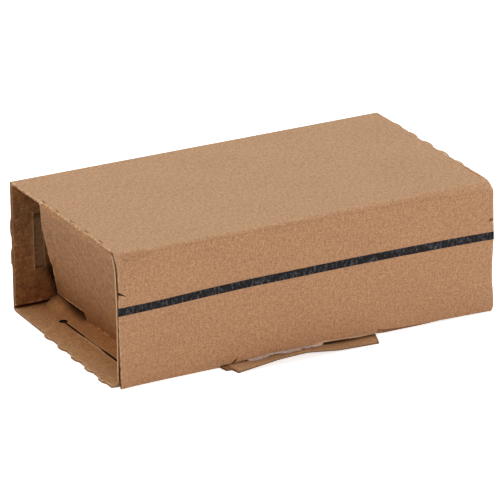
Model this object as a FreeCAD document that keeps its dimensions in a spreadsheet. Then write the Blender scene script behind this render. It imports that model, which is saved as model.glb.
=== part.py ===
"""Closed shipping carton of thin corrugated board, with recessed ends, a tear strip and a sealed front flap.

Lengths are in millimetres. While the pieces are drawn, X runs along the carton from the middle of its
length, Y runs back from the front flap's outer face and Z runs up from the underside. The finished pieces are
shifted along Y, so that the origin is the centre of the underside of everything.
"""
import FreeCAD, Part
import Sketcher
import math
import os
import re

SIZES = {
    # The folded carton
    "carton_length": 297.0,
    "carton_width": 172.0,
    "carton_height": 98.0,
    "board": 1.5,
    "ply_gap": 0.4,
    "fold_round": 1.2,
    # The soft fold between front flap and top: how high the bend starts and how far in it ends
    "left_bend_height": 80.0,
    "left_bend_depth": 7.5,
    "near_station": 25.0,
    "near_bend_height": 95.0,
    "near_bend_depth": 1.5,
    "far_station": 77.0,
    "far_bend_height": 94.5,
    "far_bend_depth": 7.0,
    "right_bend_height": 90.5,
    "right_bend_depth": 12.0,
    # The waves of the safety-cut edges
    "tooth_pitch": 22.8,
    "tooth_length": 15.5,
    "tooth_rise": 5.0,
    "tooth_height": 2.2,
    "floor_flare": 5.0,
    "back_flare": 0.5,
    "floor_tooth_start": 11.0,
    "lid_tooth_height": 1.7,
    "lid_tooth_start": 41.0,
    "back_tooth_start": 33.0,
    "back_tooth_height": 1.0,
    # The slanting end walls
    "foot_inset": 35.0,
    "gap_height": 8.0,
    "gap_setback": 48.5,
    "corner_setback": 5.0,
    "waist_setback": 20.0,
    "waist_height": 37.5,
    "knee_setback": 18.4,
    "knee_height": 40.2,
    "upper_setback": 31.0,
    "upper_height": 71.7,
    "top_setback": 46.7,
    # The inner ply of the back wall
    "ply_inset": 1.0,
    "slot_inset": 16.3,
    "slot_width": 8.2,
    "slot_bottom": 29.4,
    "slot_top": 71.0,
    # The cut and its round end in the floor
    "slit_inset": 18.9,
    "slit_width": 0.8,
    "slit_depth": 1.0,
    "keyhole_radius": 2.6,
    "keyhole_setback": 41.0,
    # The nicks along the top's left edge
    "mark_start": 28.0,
    "mark_inset": 2.0,
    "mark_length": 4.0,
    "mark_width": 0.9,
    # The cuts that start the tear strip
    "nick_height": 71.5,
    "nick_length": 7.0,
    "nick_drop": 4.0,
    "nick_width": 0.9,
    # The tongue in front of the lower fold
    "tongue_start": 78.5,
    "tongue_length": 123.6,
    "tongue_reach": 15.5,
    "tongue_left_taper": 5.4,
    "tongue_right_taper": 6.8,
    "tongue_crest": 4.9,
    "crest_station": 59.6,
    "tongue_dip": 2.0,
    "dip_station": 84.9,
    "tongue_tail": 1.0,
    # The front flap's lower edge, pushed up above the tongue
    "lift_station": 39.0,
    "edge_lift": 3.4,
    "edge_clearance": 0.3,
    "edge_notch": 4.3,
    "notch_width": 1.2,
    "notch_slope": 1.6,
    "edge_run_out": 58.0,
    # Tear strip, adhesive and its release liner
    "strip_height": 53.2,
    "strip_width": 5.6,
    "strip_thickness": 0.25,
    "strip_overhang": 0.3,
    "adhesive_height": 18.0,
    "adhesive_width": 20.0,
    "adhesive_inset": 4.0,
    "liner_start": 20.0,
    "liner_length": 60.0,
    "liner_width": 4.5,
    "liner_thickness": 0.3,
    "liner_crumple": 0.9,
}

TOOTH_COUNT = 5
BACK_TOOTH_COUNT = 2
LINER_FOLDS = 6

# Derived distances that several pieces share
INNER_PLY = "(board + ply_gap)"
WALL_FACE = "(2 * board + ply_gap)"
LEFT_END = "(-carton_length / 2)"
RIGHT_END = "(carton_length / 2)"
CENTRING = "(tongue_reach - carton_width) / 2"
WALL_BLANK = "(foot_inset + 2 * board)"


def write_sizes(doc):
    """Puts every driving dimension into a sheet, one named cell each."""
    sheet = doc.addObject("Spreadsheet::Sheet", "Sizes")
    for row, (name, value) in enumerate(SIZES.items(), start=1):
        sheet.set(f"A{row}", name)
        sheet.set(f"B{row}", str(value))
        sheet.setAlias(f"B{row}", name)
    doc.recompute()


def formula(text):
    """Turns size names into references to the sheet."""
    return re.sub(r"\b(" + "|".join(SIZES) + r")\b", r"Sizes.\1", str(text))


def bind(item, target, text):
    """Ties one property of an object to a formula of sizes."""
    item.setExpression(target, formula(text))


def new_body(doc, name):
    """Starts a body with a label of its own."""
    body = doc.addObject("PartDesign::Body", name)
    body.Label = name
    return body


def origin_plane(body, role):
    """Finds one of the body's own origin planes."""
    return next(f for f in body.Origin.OriginFeatures if f.Role == role)


def new_sketch(body, name, role, distance="0"):
    """Starts a sketch that lies parallel to an origin plane, at a bound distance along its normal."""
    sketch = body.newObject("Sketcher::SketchObject", name)
    sketch.AttachmentSupport = [(origin_plane(body, role), "")]
    sketch.MapMode = "FlatFace"
    bind(sketch, ".AttachmentOffset.Base.z", distance)
    return sketch


def pin_point(sketch, index, position, across, up):
    """Fixes one end of a sketch element at bound distances from the sketch's origin."""
    for kind, text in (("DistanceX", across), ("DistanceY", up)):
        place = sketch.addConstraint(Sketcher.Constraint(kind, -1, 1, index, position, 1.0))
        bind(sketch, f"Constraints[{place}]", text)


def draw_polygon(sketch, corners):
    """Draws a closed outline whose corners, pairs of formulas, run round it in order."""
    first = sketch.GeometryCount
    count = len(corners)
    ring = []
    for step in range(count):
        turn = 2 * math.pi * step / count
        ring.append(FreeCAD.Vector(50 * math.cos(turn), 50 * math.sin(turn), 0))
    for step in range(count):
        sketch.addGeometry(Part.LineSegment(ring[step], ring[(step + 1) % count]), False)
    for step in range(count):
        joined = first + (step + 1) % count
        sketch.addConstraint(Sketcher.Constraint("Coincident", first + step, 2, joined, 1))
    for step, (across, up) in enumerate(corners):
        pin_point(sketch, first + step, 1, across, up)


def draw_circle(sketch, across, up, radius):
    """Draws a full circle with bound centre and radius."""
    index = sketch.addGeometry(Part.Circle(FreeCAD.Vector(1, 1, 0), FreeCAD.Vector(0, 0, 1), 1.0), False)
    pin_point(sketch, index, 3, across, up)
    place = sketch.addConstraint(Sketcher.Constraint("Radius", index, 1.0))
    bind(sketch, f"Constraints[{place}]", radius)


def pad(body, sketch, length, reverse=False):
    """Raises a sketch into board of a bound thickness, along its normal or against it."""
    feature = body.newObject("PartDesign::Pad", sketch.Name + "_pad")
    feature.Profile = sketch
    feature.Reversed = reverse
    bind(feature, "Length", length)
    return feature


def pocket(body, sketch, depth):
    """Cuts a sketch out of the body to a bound depth."""
    feature = body.newObject("PartDesign::Pocket", sketch.Name + "_cut")
    feature.Profile = sketch
    bind(feature, "Length", depth)
    return feature


def ruled_loft(body, sketches, name):
    """Joins outlines of equal corner count with straight rulings."""
    feature = body.newObject("PartDesign::AdditiveLoft", name)
    feature.Profile = sketches[0]
    feature.Sections = sketches[1:]
    feature.Ruled = True
    return feature


def mirror_ends(body, features, name):
    """Repeats features of the left end at the right end."""
    feature = body.newObject("PartDesign::Mirrored", name)
    feature.Originals = features
    feature.MirrorPlane = (origin_plane(body, "YZ_Plane"), [""])
    body.Tip = feature
    return feature


def sleeve_outline(height, depth):
    """The folded strip's section: front flap, top, back, floor and the wall behind the flap."""
    outside = [
        ("0", "0"),
        ("0", height),
        (depth, "carton_height"),
        ("carton_width - fold_round", "carton_height"),
        ("carton_width", "carton_height - fold_round"),
        ("carton_width", "fold_round"),
        ("carton_width - fold_round", "0"),
        (f"{INNER_PLY} + fold_round", "0"),
        (INNER_PLY, "fold_round"),
        (INNER_PLY, f"{height} - {INNER_PLY}"),
        (f"{depth} + {INNER_PLY}", f"carton_height - {INNER_PLY}"),
    ]
    inside = [
        (f"{depth} + {WALL_FACE}", f"carton_height - {WALL_FACE}"),
        (WALL_FACE, f"{height} - {WALL_FACE}"),
        (WALL_FACE, "board"),
        ("carton_width - board", "board"),
        ("carton_width - board", "carton_height - board"),
        (f"{depth} + board", "carton_height - board"),
        ("board", f"{height} - board"),
        ("board", "0"),
    ]
    return outside + inside


def tooth_row(start, height, count, steep_side_first):
    """Corners along a wavy edge, as (distance along the edge, distance beyond it)."""
    corners = []
    for step in range(count):
        base = f"{start} + {step} * tooth_pitch"
        crest = "tooth_rise" if steep_side_first else "(tooth_length - tooth_rise)"
        corners += [(base, "0"), (f"{base} + {crest}", height), (f"{base} + tooth_length", "0")]
    return corners


def add_floor_teeth(body):
    """The floor's two end edges, which stand out more towards the front and have waves."""
    sketch = new_sketch(body, "floor_teeth", "XY_Plane")
    front = f"{INNER_PLY} + fold_round"
    rear = "carton_width - fold_round"
    row = tooth_row("floor_tooth_start", "tooth_height", TOOTH_COUNT, steep_side_first=False)
    edge = []
    for along, beyond in [(front, "0")] + row + [(rear, "0")]:
        flare = f"floor_flare - (floor_flare - back_flare) * ({along}) / carton_width"
        edge.append((f"{LEFT_END} - ({flare}) - {beyond}", along))
    root = f"{LEFT_END} + board"
    draw_polygon(sketch, [(root, front)] + edge + [(root, rear)])
    teeth = pad(body, sketch, "board")
    mirror_ends(body, [teeth], "floor_teeth_both")


def add_lid_teeth(body):
    """The waves of the top's right edge."""
    sketch = new_sketch(body, "lid_teeth", "XY_Plane", "carton_height - board")
    row = tooth_row("lid_tooth_start", "lid_tooth_height", TOOTH_COUNT, steep_side_first=True)
    edge = [(f"{RIGHT_END} + {beyond}", along) for along, beyond in row]
    last = row[-1][0]
    root = f"{RIGHT_END} - board"
    draw_polygon(sketch, [(root, "lid_tooth_start")] + edge + [(root, last)])
    pad(body, sketch, "board")


def add_back_teeth(body):
    """The waves of the back wall's two upright edges."""
    sketch = new_sketch(body, "back_teeth", "XZ_Plane", "-carton_width")
    row = tooth_row("back_tooth_start", "back_tooth_height", BACK_TOOTH_COUNT, steep_side_first=True)
    edge = [(f"{LEFT_END} - {beyond}", along) for along, beyond in row]
    last = row[-1][0]
    root = f"{LEFT_END} + board"
    draw_polygon(sketch, [(root, "back_tooth_start")] + edge + [(root, last)])
    teeth = pad(body, sketch, "board")
    mirror_ends(body, [teeth], "back_teeth_both")


def cut_floor_slits(body):
    """The long cut beside each end's floor crease, with its round end."""
    sketch = new_sketch(body, "floor_slit", "XY_Plane", "board")
    near = f"{LEFT_END} + slit_inset"
    far = f"{near} + slit_width"
    back = "carton_width - keyhole_setback"
    draw_polygon(sketch, [(near, WALL_FACE), (far, WALL_FACE), (far, back), (near, back)])
    slit = pocket(body, sketch, "slit_depth")
    hole_sketch = new_sketch(body, "floor_keyhole", "XY_Plane", "board")
    draw_circle(hole_sketch, f"{near} + slit_width / 2", back, "keyhole_radius")
    keyhole = pocket(body, hole_sketch, "slit_depth")
    mirror_ends(body, [slit, keyhole], "floor_slits_both")


def cut_lid_marks(body):
    """The short nicks where the top folds over into the left end wall."""
    sketch = new_sketch(body, "lid_marks", "XY_Plane", "carton_height")
    near = f"{LEFT_END} + mark_inset"
    far = f"{near} + mark_width"
    for step in range(TOOTH_COUNT):
        front = f"mark_start + {step} * tooth_pitch"
        back = f"{front} + mark_length"
        draw_polygon(sketch, [(near, front), (far, front), (far, back), (near, back)])
    pocket(body, sketch, "board")


def cut_flap_nicks(body):
    """The cuts at both ends of the front flap, above the tear strip."""
    depth = "board + ply_gap / 2"
    sketch = new_sketch(body, "left_nick", "XZ_Plane")
    outer = f"{LEFT_END} - board"
    tip = f"{LEFT_END} + nick_length"
    corners = [
        (outer, "nick_height"),
        (LEFT_END, "nick_height"),
        (tip, "nick_height - nick_drop"),
        (LEFT_END, "nick_height - nick_width"),
        (outer, "nick_height - nick_width"),
    ]
    draw_polygon(sketch, corners)
    pocket(body, sketch, depth)
    sketch = new_sketch(body, "right_nick", "XZ_Plane")
    outer = f"{RIGHT_END} + board"
    tip = f"{RIGHT_END} - nick_length / 2"
    low = "nick_height - nick_drop / 2"
    corners = [(outer, low), (outer, f"{low} - 2 * nick_width"), (tip, f"{low} - nick_drop / 2")]
    draw_polygon(sketch, corners)
    pocket(body, sketch, depth)


def cut_tongue_hole(body):
    """The opening that the tongue leaves in the wall behind the flap."""
    sketch = new_sketch(body, "tongue_hole", "XZ_Plane", f"-{INNER_PLY} + ply_gap / 2")
    left = f"{LEFT_END} + tongue_start"
    right = f"{left} + tongue_length"
    corners = [
        (left, "board"),
        (right, "board"),
        (f"{right} - tongue_right_taper", "board + tongue_reach"),
        (f"{left} + tongue_left_taper", "board + tongue_reach"),
    ]
    draw_polygon(sketch, corners)
    pocket(body, sketch, "board + ply_gap")


def lift_flap_edge(body):
    """The flap's lower edge, bent up over the tongue, notched at its end and settling down beyond it."""
    sketch = new_sketch(body, "flap_edge", "XZ_Plane")
    left = f"{LEFT_END} + tongue_start"
    right = f"{left} + tongue_length"
    low = "board + edge_clearance"
    under = "-board"
    corners = [
        (left, under),
        (left, low),
        (f"{left} + lift_station", "edge_lift"),
        (f"{left} + dip_station", "edge_lift - edge_clearance"),
        (right, low),
        (f"{right} + edge_clearance", "edge_notch"),
        (f"{right} + edge_clearance + notch_width", "edge_notch"),
        (f"{right} + edge_clearance + notch_width + notch_slope", "edge_lift"),
        (f"{right} + edge_run_out", "0"),
        (f"{right} + edge_run_out", under),
    ]
    draw_polygon(sketch, corners)
    pocket(body, sketch, "board + ply_gap / 2")


def make_sleeve(doc):
    """The strip of board that wraps round the carton, with its cuts and wavy edges."""
    body = new_body(doc, "sleeve")
    stations = [
        ("section_left", LEFT_END, "left_bend_height", "left_bend_depth"),
        ("section_near", f"{LEFT_END} + near_station", "near_bend_height", "near_bend_depth"),
        ("section_far", f"{RIGHT_END} - far_station", "far_bend_height", "far_bend_depth"),
        ("section_right", RIGHT_END, "right_bend_height", "right_bend_depth"),
    ]
    sections = []
    for name, distance, height, depth in stations:
        sketch = new_sketch(body, name, "YZ_Plane", distance)
        draw_polygon(sketch, sleeve_outline(height, depth))
        sections.append(sketch)
    ruled_loft(body, sections, "wrap")
    add_floor_teeth(body)
    add_lid_teeth(body)
    add_back_teeth(body)
    cut_floor_slits(body)
    cut_lid_marks(body)
    cut_flap_nicks(body)
    cut_tongue_hole(body)
    lift_flap_edge(body)
    return body


def make_back_ply(doc):
    """The second ply of the back wall, with an upright slot near each end."""
    body = new_body(doc, "back_ply")
    sketch = new_sketch(body, "ply_outline", "XZ_Plane", "board - carton_width")
    left = f"{LEFT_END} + ply_inset"
    right = f"{RIGHT_END} - ply_inset"
    top = "carton_height - board"
    draw_polygon(sketch, [(left, "board"), (right, "board"), (right, top), (left, top)])
    pad(body, sketch, "board")
    sketch = new_sketch(body, "ply_slot", "XZ_Plane", "2 * board - carton_width")
    near = f"{LEFT_END} + slot_inset"
    far = f"{near} + slot_width"
    draw_polygon(sketch, [(near, "slot_bottom"), (far, "slot_bottom"), (far, "slot_top"), (near, "slot_top")])
    slot = pocket(body, sketch, "board")
    mirror_ends(body, [slot], "ply_slots")
    return body


def make_end_wall(doc, name, end, inward, bend_height, bend_depth):
    """One end wall: it hangs from the top's edge and slants inwards to its foot on the floor."""
    body = new_body(doc, name)
    sketch = new_sketch(body, name + "_outline", "YZ_Plane", end)
    lid = "carton_height - board"
    corners = [
        (WALL_FACE, "board"),
        ("carton_width - gap_setback", "board"),
        ("carton_width - gap_setback", "gap_height"),
        ("carton_width - corner_setback", "gap_height"),
        ("carton_width - waist_setback", "waist_height"),
        ("carton_width - knee_setback", "knee_height"),
        ("carton_width - upper_setback", "upper_height"),
        ("carton_width - top_setback", lid),
        (f"{bend_depth} + {WALL_FACE}", lid),
        (f"{bend_depth} + {WALL_FACE}", f"carton_height - {WALL_FACE}"),
        (WALL_FACE, f"{bend_height} - {WALL_FACE}"),
    ]
    draw_polygon(sketch, corners)
    pad(body, sketch, WALL_BLANK, reverse=inward == "-")
    sketch = new_sketch(body, name + "_slant", "XZ_Plane")
    outside = f"{end} - ({inward} board)"
    top = f"{end} {inward} board"
    foot = f"{end} {inward} foot_inset"
    inner_foot = f"{foot} {inward} board"
    inside = f"{end} {inward} ({WALL_BLANK} + board)"
    draw_polygon(sketch, [(outside, "board"), (foot, "board"), (end, lid), (outside, lid)])
    draw_polygon(sketch, [(inner_foot, "board"), (inside, "board"), (inside, lid), (top, lid)])
    pocket(body, sketch, "carton_width")
    return body


def make_tongue(doc):
    """The tongue of the floor that juts out below the flap, its front edge buckled upwards."""
    body = new_body(doc, "tongue")
    left = f"{LEFT_END} + tongue_start"
    right = f"{left} + tongue_length"
    crest = f"{left} + crest_station"
    dip = f"{left} + dip_station"
    flat = [(left, "0"), (crest, "0"), (dip, "0"), (right, "0")]
    buckled = [
        (f"{left} + tongue_left_taper", "0"),
        (crest, "tongue_crest"),
        (dip, "tongue_dip"),
        (f"{right} - tongue_right_taper", "tongue_tail"),
    ]
    stations = [
        ("tongue_root", f"-{WALL_FACE}", flat),
        ("tongue_fold", f"-{INNER_PLY}", flat),
        ("tongue_front", "tongue_reach", buckled),
    ]
    sections = []
    for name, distance, underside in stations:
        upper = [(across, f"{up} + board") for across, up in reversed(underside)]
        sketch = new_sketch(body, name, "XZ_Plane", distance)
        draw_polygon(sketch, underside + upper)
        sections.append(sketch)
    ruled_loft(body, sections, "tongue_board")
    return body


def place(item):
    """Shifts a finished piece so that the origin is centred below everything."""
    bind(item, ".Placement.Base.y", CENTRING)


def make_carton(doc):
    """The whole folded and glued blank, as one solid."""
    walls = [
        make_end_wall(doc, "left_end_wall", LEFT_END, "+", "left_bend_height", "left_bend_depth"),
        make_end_wall(doc, "right_end_wall", RIGHT_END, "-", "right_bend_height", "right_bend_depth"),
    ]
    carton = doc.addObject("Part::MultiFuse", "carton")
    carton.Label = "carton"
    carton.Shapes = [make_sleeve(doc), make_back_ply(doc), make_tongue(doc)] + walls
    place(carton)
    return carton


def make_tear_strip(doc):
    """The dark strip along the front flap, a little longer than the flap."""
    strip = doc.addObject("Part::Box", "tear_strip")
    strip.Label = "tear_strip"
    bind(strip, "Length", "carton_length + 2 * strip_overhang")
    bind(strip, "Width", "strip_thickness")
    bind(strip, "Height", "strip_width")
    bind(strip, ".Placement.Base.x", f"{LEFT_END} - strip_overhang")
    bind(strip, ".Placement.Base.y", f"{CENTRING} - strip_thickness")
    bind(strip, ".Placement.Base.z", "strip_height")
    return strip


def make_adhesive(doc):
    """The band of glue between the front flap and the wall behind it."""
    band = doc.addObject("Part::Box", "adhesive_band")
    band.Label = "adhesive_band"
    bind(band, "Length", "carton_length - 2 * adhesive_inset")
    bind(band, "Width", "ply_gap")
    bind(band, "Height", "adhesive_width")
    bind(band, ".Placement.Base.x", f"{LEFT_END} + adhesive_inset")
    bind(band, ".Placement.Base.y", f"{CENTRING} + board")
    bind(band, ".Placement.Base.z", "adhesive_height")
    return band


def make_liner(doc):
    """The crumpled strip of release paper that lies on the tongue's root."""
    body = new_body(doc, "release_liner")
    start = f"{LEFT_END} + tongue_start"
    sections = []
    for step in range(LINER_FOLDS + 1):
        along = f"(liner_start + {step} * liner_length / {LINER_FOLDS})"
        slope = f"tongue_crest * {along} / crest_station"
        if step >= LINER_FOLDS - 1:
            fall = f"({along} - crest_station) / (dip_station - crest_station)"
            slope = f"tongue_crest - (tongue_crest - tongue_dip) * {fall}"
        run = f"(tongue_reach + {INNER_PLY})"
        near = f"board + edge_clearance + ({slope}) * ({INNER_PLY} + strip_thickness) / {run}"
        far = f"board + edge_clearance + ({slope}) * ({INNER_PLY} + liner_width) / {run}"
        wave = "liner_crumple" if step % 2 else "0"
        sketch = new_sketch(body, f"liner_{step}", "YZ_Plane", f"{start} + {along}")
        corners = [
            ("-strip_thickness", near),
            ("-liner_width", f"{far} + {wave}"),
            ("-liner_width", f"{far} + {wave} + liner_thickness"),
            ("-strip_thickness", f"{near} + liner_thickness"),
        ]
        draw_polygon(sketch, corners)
        sections.append(sketch)
    ruled_loft(body, sections, "liner_strip")
    place(body)
    return body


def check(doc, pieces):
    """Stops before anything is written if a feature or a piece has failed."""
    for item in doc.Objects:
        if "Invalid" in item.State or "Error" in item.State:
            raise RuntimeError(f"{item.Label} failed: {item.State}")
    for piece in pieces:
        if piece.Shape.isNull() or not piece.Shape.isValid():
            raise RuntimeError(f"{piece.Label} has no valid shape")


def main():
    """Builds the document and writes each piece to its file."""
    doc = FreeCAD.newDocument("Carton")
    write_sizes(doc)
    pieces = [make_carton(doc), make_tear_strip(doc), make_adhesive(doc), make_liner(doc)]
    doc.recompute()
    check(doc, pieces)
    os.makedirs("parts", exist_ok=True)
    for piece in pieces:
        piece.Shape.exportStep(f"parts/{piece.Label}.step")
        box = piece.Shape.BoundBox
        print(f"{piece.Label}: {len(piece.Shape.Solids)} solid, {piece.Shape.Volume:.0f} mm3, {box}")


main()
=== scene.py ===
"""Looks of a closed mailing carton of thin corrugated kraft board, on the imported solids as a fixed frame.

Sizes are in millimetres while a shape is worked out: X runs along the carton from the middle of its length,
Y runs back from the front flap's outer face and Z runs up from the underside. The last step turns them into
metres and shifts them back along Y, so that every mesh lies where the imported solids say.
"""
import logging
import math
from dataclasses import dataclass, field
from enum import Enum
from typing import Sequence

import bmesh
import bpy
import numpy as np
from mathutils import Matrix, Vector


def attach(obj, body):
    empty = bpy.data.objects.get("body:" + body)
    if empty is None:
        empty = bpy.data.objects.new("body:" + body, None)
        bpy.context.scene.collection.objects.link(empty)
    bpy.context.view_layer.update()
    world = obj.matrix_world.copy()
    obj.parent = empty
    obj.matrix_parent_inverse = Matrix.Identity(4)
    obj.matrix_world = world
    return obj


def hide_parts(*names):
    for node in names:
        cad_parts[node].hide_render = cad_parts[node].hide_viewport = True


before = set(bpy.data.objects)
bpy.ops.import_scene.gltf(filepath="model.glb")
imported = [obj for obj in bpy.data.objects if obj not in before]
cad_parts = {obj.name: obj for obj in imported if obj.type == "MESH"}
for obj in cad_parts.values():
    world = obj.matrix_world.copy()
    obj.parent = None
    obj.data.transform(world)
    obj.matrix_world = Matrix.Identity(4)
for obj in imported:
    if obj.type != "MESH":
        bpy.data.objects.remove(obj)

log = logging.getLogger("carton")
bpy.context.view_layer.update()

Array = np.ndarray
Colour = tuple[float, float, float]
Point = tuple[float, float, float]
Range = tuple[float, float]
Row = tuple[float, ...]
Socket = bpy.types.NodeSocket
Sockets = bpy.types.NodeOutputs

MM = 0.001
BODY = "root"
WELD = 2e-7
SHARP_ANGLE = math.radians(38.0)
FLUTE_PITCH = 2.8
BOARD = 1.5
LINER_SHARE = 0.2
PLY_OUT = 1.9
PLY_IN = 3.4
HALF_LENGTH = 148.5
WIDTH = 172.0
HEIGHT = 98.0
TONGUE_REACH = 15.5
FOOT_INSET = 35.0
Y_SHIFT = (TONGUE_REACH - WIDTH) / 2
TONGUE_LEFT = -HALF_LENGTH + 78.5
TONGUE_RIGHT = TONGUE_LEFT + 123.6
# Six points through a cut side, as shares of the thickness, and which of them the set back core moves
LINER_SHARES = np.array([0.0, LINER_SHARE, LINER_SHARE, 1.0 - LINER_SHARE, 1.0 - LINER_SHARE, 1.0])
CORE_POINTS = np.array([0.0, 0.0, 1.0, 1.0, 0.0, 0.0])
LAYERS = len(LINER_SHARES)
# A core set back by more than DEEP_CUT shows its fluting, which is drawn FLUTE_DEPTH deep, and takes the
# near black finish of painted shade
DEEP_CUT = 1.0
FLUTE_DEPTH = 2.6
# Two grid lines STEEP apart make a steep wall, SAME_LINE is too near to be another line
STEEP = 0.08
SAME_LINE = 0.01
CLEAR_OF_LINE = 0.05
# Rubbing and painted shade of the wrap's end edges, by panel: rubbing above 0, painted shade below it
RIM_WEAR_AND_SHADE = {"flap": -0.6, "bend": -0.7, "wall": 1.0, "top": 0.55, "floor": 0.2, "back": 0.2}
FOLD_RIM_WEAR = 0.3


class End(Enum):
    """The two short ends of the carton, by the sign of X."""

    LEFT = -1
    RIGHT = 1


class Face(Enum):
    """Which finish a face of a sheet of board takes, by its material index."""

    OUTER = 0
    INNER = 1
    CUT = 2
    FLUTE = 3
    # Near black finish that paints the shade in cuts, gaps and flute openings
    PAINTED_SHADE = 4


# Shapes as whole arrays


def smoothstep(value: Array, low: float, high: float) -> Array:
    """Rises from 0 at low to 1 at high along 3t squared minus 2t cubed.

    Args:
        value: Where the step is read.
        low: Where it leaves 0.
        high: Where it reaches 1.

    Returns:
        The step at every value.
    """
    t = np.clip((np.asarray(value, float) - low) / (high - low), 0.0, 1.0)
    return t * t * (3.0 - 2.0 * t)


def falloff(value: Array, low: float, high: float) -> Array:
    """Falls from 1 at low to 0 at high: one minus the smooth step."""
    return 1.0 - smoothstep(value, low, high)


def soft_interp(at: Array, stations: Sequence[float], values: Sequence[float], radius: float) -> Array:
    """Straight runs between stations, rounded by a weighted mean over a short reach each side.

    Args:
        at: Where the line is read.
        stations: Rising places of the known values.
        values: The known values.
        radius: How far the mean reaches to each side.

    Returns:
        The rounded line at every place.
    """
    offsets = np.linspace(-1.0, 1.0, 13)
    weights = np.cos(offsets * math.pi / 2.0) ** 2
    weights /= weights.sum()
    spread = np.asarray(at, float)[..., None] + radius * offsets
    return (np.interp(spread, stations, values) * weights).sum(axis=-1)


def merged_lines(spacing: float, low: float, high: float, extra: Sequence[float]) -> Array:
    """Grid lines at an even spacing, with extra lines in place of any that would lie too near them.

    Args:
        spacing: Aim for the distance between lines.
        low: First line.
        high: Last line.
        extra: Lines that have to be there.

    Returns:
        The rising lines.
    """
    even = np.linspace(low, high, max(2, int(round((high - low) / spacing)) + 1))
    fixed = np.unique(np.concatenate([[low, high], np.asarray(extra, float)]))
    clear = np.abs(even[:, None] - fixed[None, :]).min(axis=1) > spacing * 0.35
    return np.unique(np.concatenate([even[clear], fixed]))


def unit(vectors: Array) -> Array:
    """Scales the vectors on the last axis to length one."""
    return vectors / np.maximum(np.linalg.norm(vectors, axis=-1, keepdims=True), 1e-9)


def right_of(first: Array, second: Array) -> tuple[Array, Array]:
    """Directions to the right of a path: its slope along the rows, scaled to one and turned clockwise.

    Args:
        first: The path's first coordinate, row by row.
        second: Its second coordinate.

    Returns:
        Both coordinates of the directions.
    """
    slope_first, slope_second = np.gradient(first, axis=0), np.gradient(second, axis=0)
    size = np.hypot(slope_first, slope_second)
    return slope_second / size, -slope_first / size


def run_along(first: Array, second: Array) -> Array:
    """Distance along a path from its first row."""
    steps = np.hypot(np.diff(first, axis=0), np.diff(second, axis=0))
    return np.concatenate([np.zeros_like(first[:1]), np.cumsum(steps, axis=0)])


def ripple(x: Array, y: Array, seed: float) -> Array:
    """An even mix of four slow sine waves that cross each other, between about minus one and one.

    Args:
        x: First coordinate, in millimetres.
        y: Second coordinate, in millimetres.
        seed: Shifts the waves against each other.

    Returns:
        The ripple at every point.
    """
    total = np.zeros(np.broadcast(x, y).shape)
    for step, (run, turn) in enumerate(((83.0, 0.4), (57.0, 2.1), (39.0, 1.2), (29.0, 2.7))):
        along = x * math.cos(turn) + y * math.sin(turn)
        total += np.sin(2.0 * math.pi * along / run + seed * (step + 1.3)) / (step + 1.5)
    return total / 1.7


def points_at(x: Array | float, y: Array | float, z: Array | float) -> Array:
    """Puts three grids of coordinates together, each spread to the common shape."""
    return np.stack(np.broadcast_arrays(x, y, z), axis=-1)


def grid_quads(rows: int, columns: int) -> Array:
    """Corner indices of every cell of a grid of points stored row by row."""
    index = np.arange(rows * columns).reshape(rows, columns)
    corners = (index[:-1, :-1], index[:-1, 1:], index[1:, 1:], index[1:, :-1])
    return np.stack(corners, axis=-1).reshape(-1, 4)


@dataclass
class Shell:
    """Points, faces and finishes of one closed surface.

    Attributes:
        points: Points in millimetres, one row each.
        quads: Four corner indices a face.
        finish: Material index of each face.
        sheet: Place of each point on the flat board, across the flutes and along them, in millimetres.
        wear: How near each point is to an edge or crease that rubs, from 0 to 1, with a painted highlight
            along some edges. Below 0 it is painted shade.
    """

    points: Array
    quads: Array
    finish: Array
    sheet: Array
    wear: Array


def join(shells: Sequence[Shell]) -> Shell:
    """Puts shells one after the other into one, without joining their points."""
    starts = np.cumsum([0] + [len(s.points) for s in shells[:-1]])
    return Shell(
        np.concatenate([s.points for s in shells]),
        np.concatenate([s.quads + start for s, start in zip(shells, starts)]),
        np.concatenate([s.finish for s in shells]),
        np.concatenate([s.sheet for s in shells]),
        np.concatenate([s.wear for s in shells]),
    )


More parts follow.
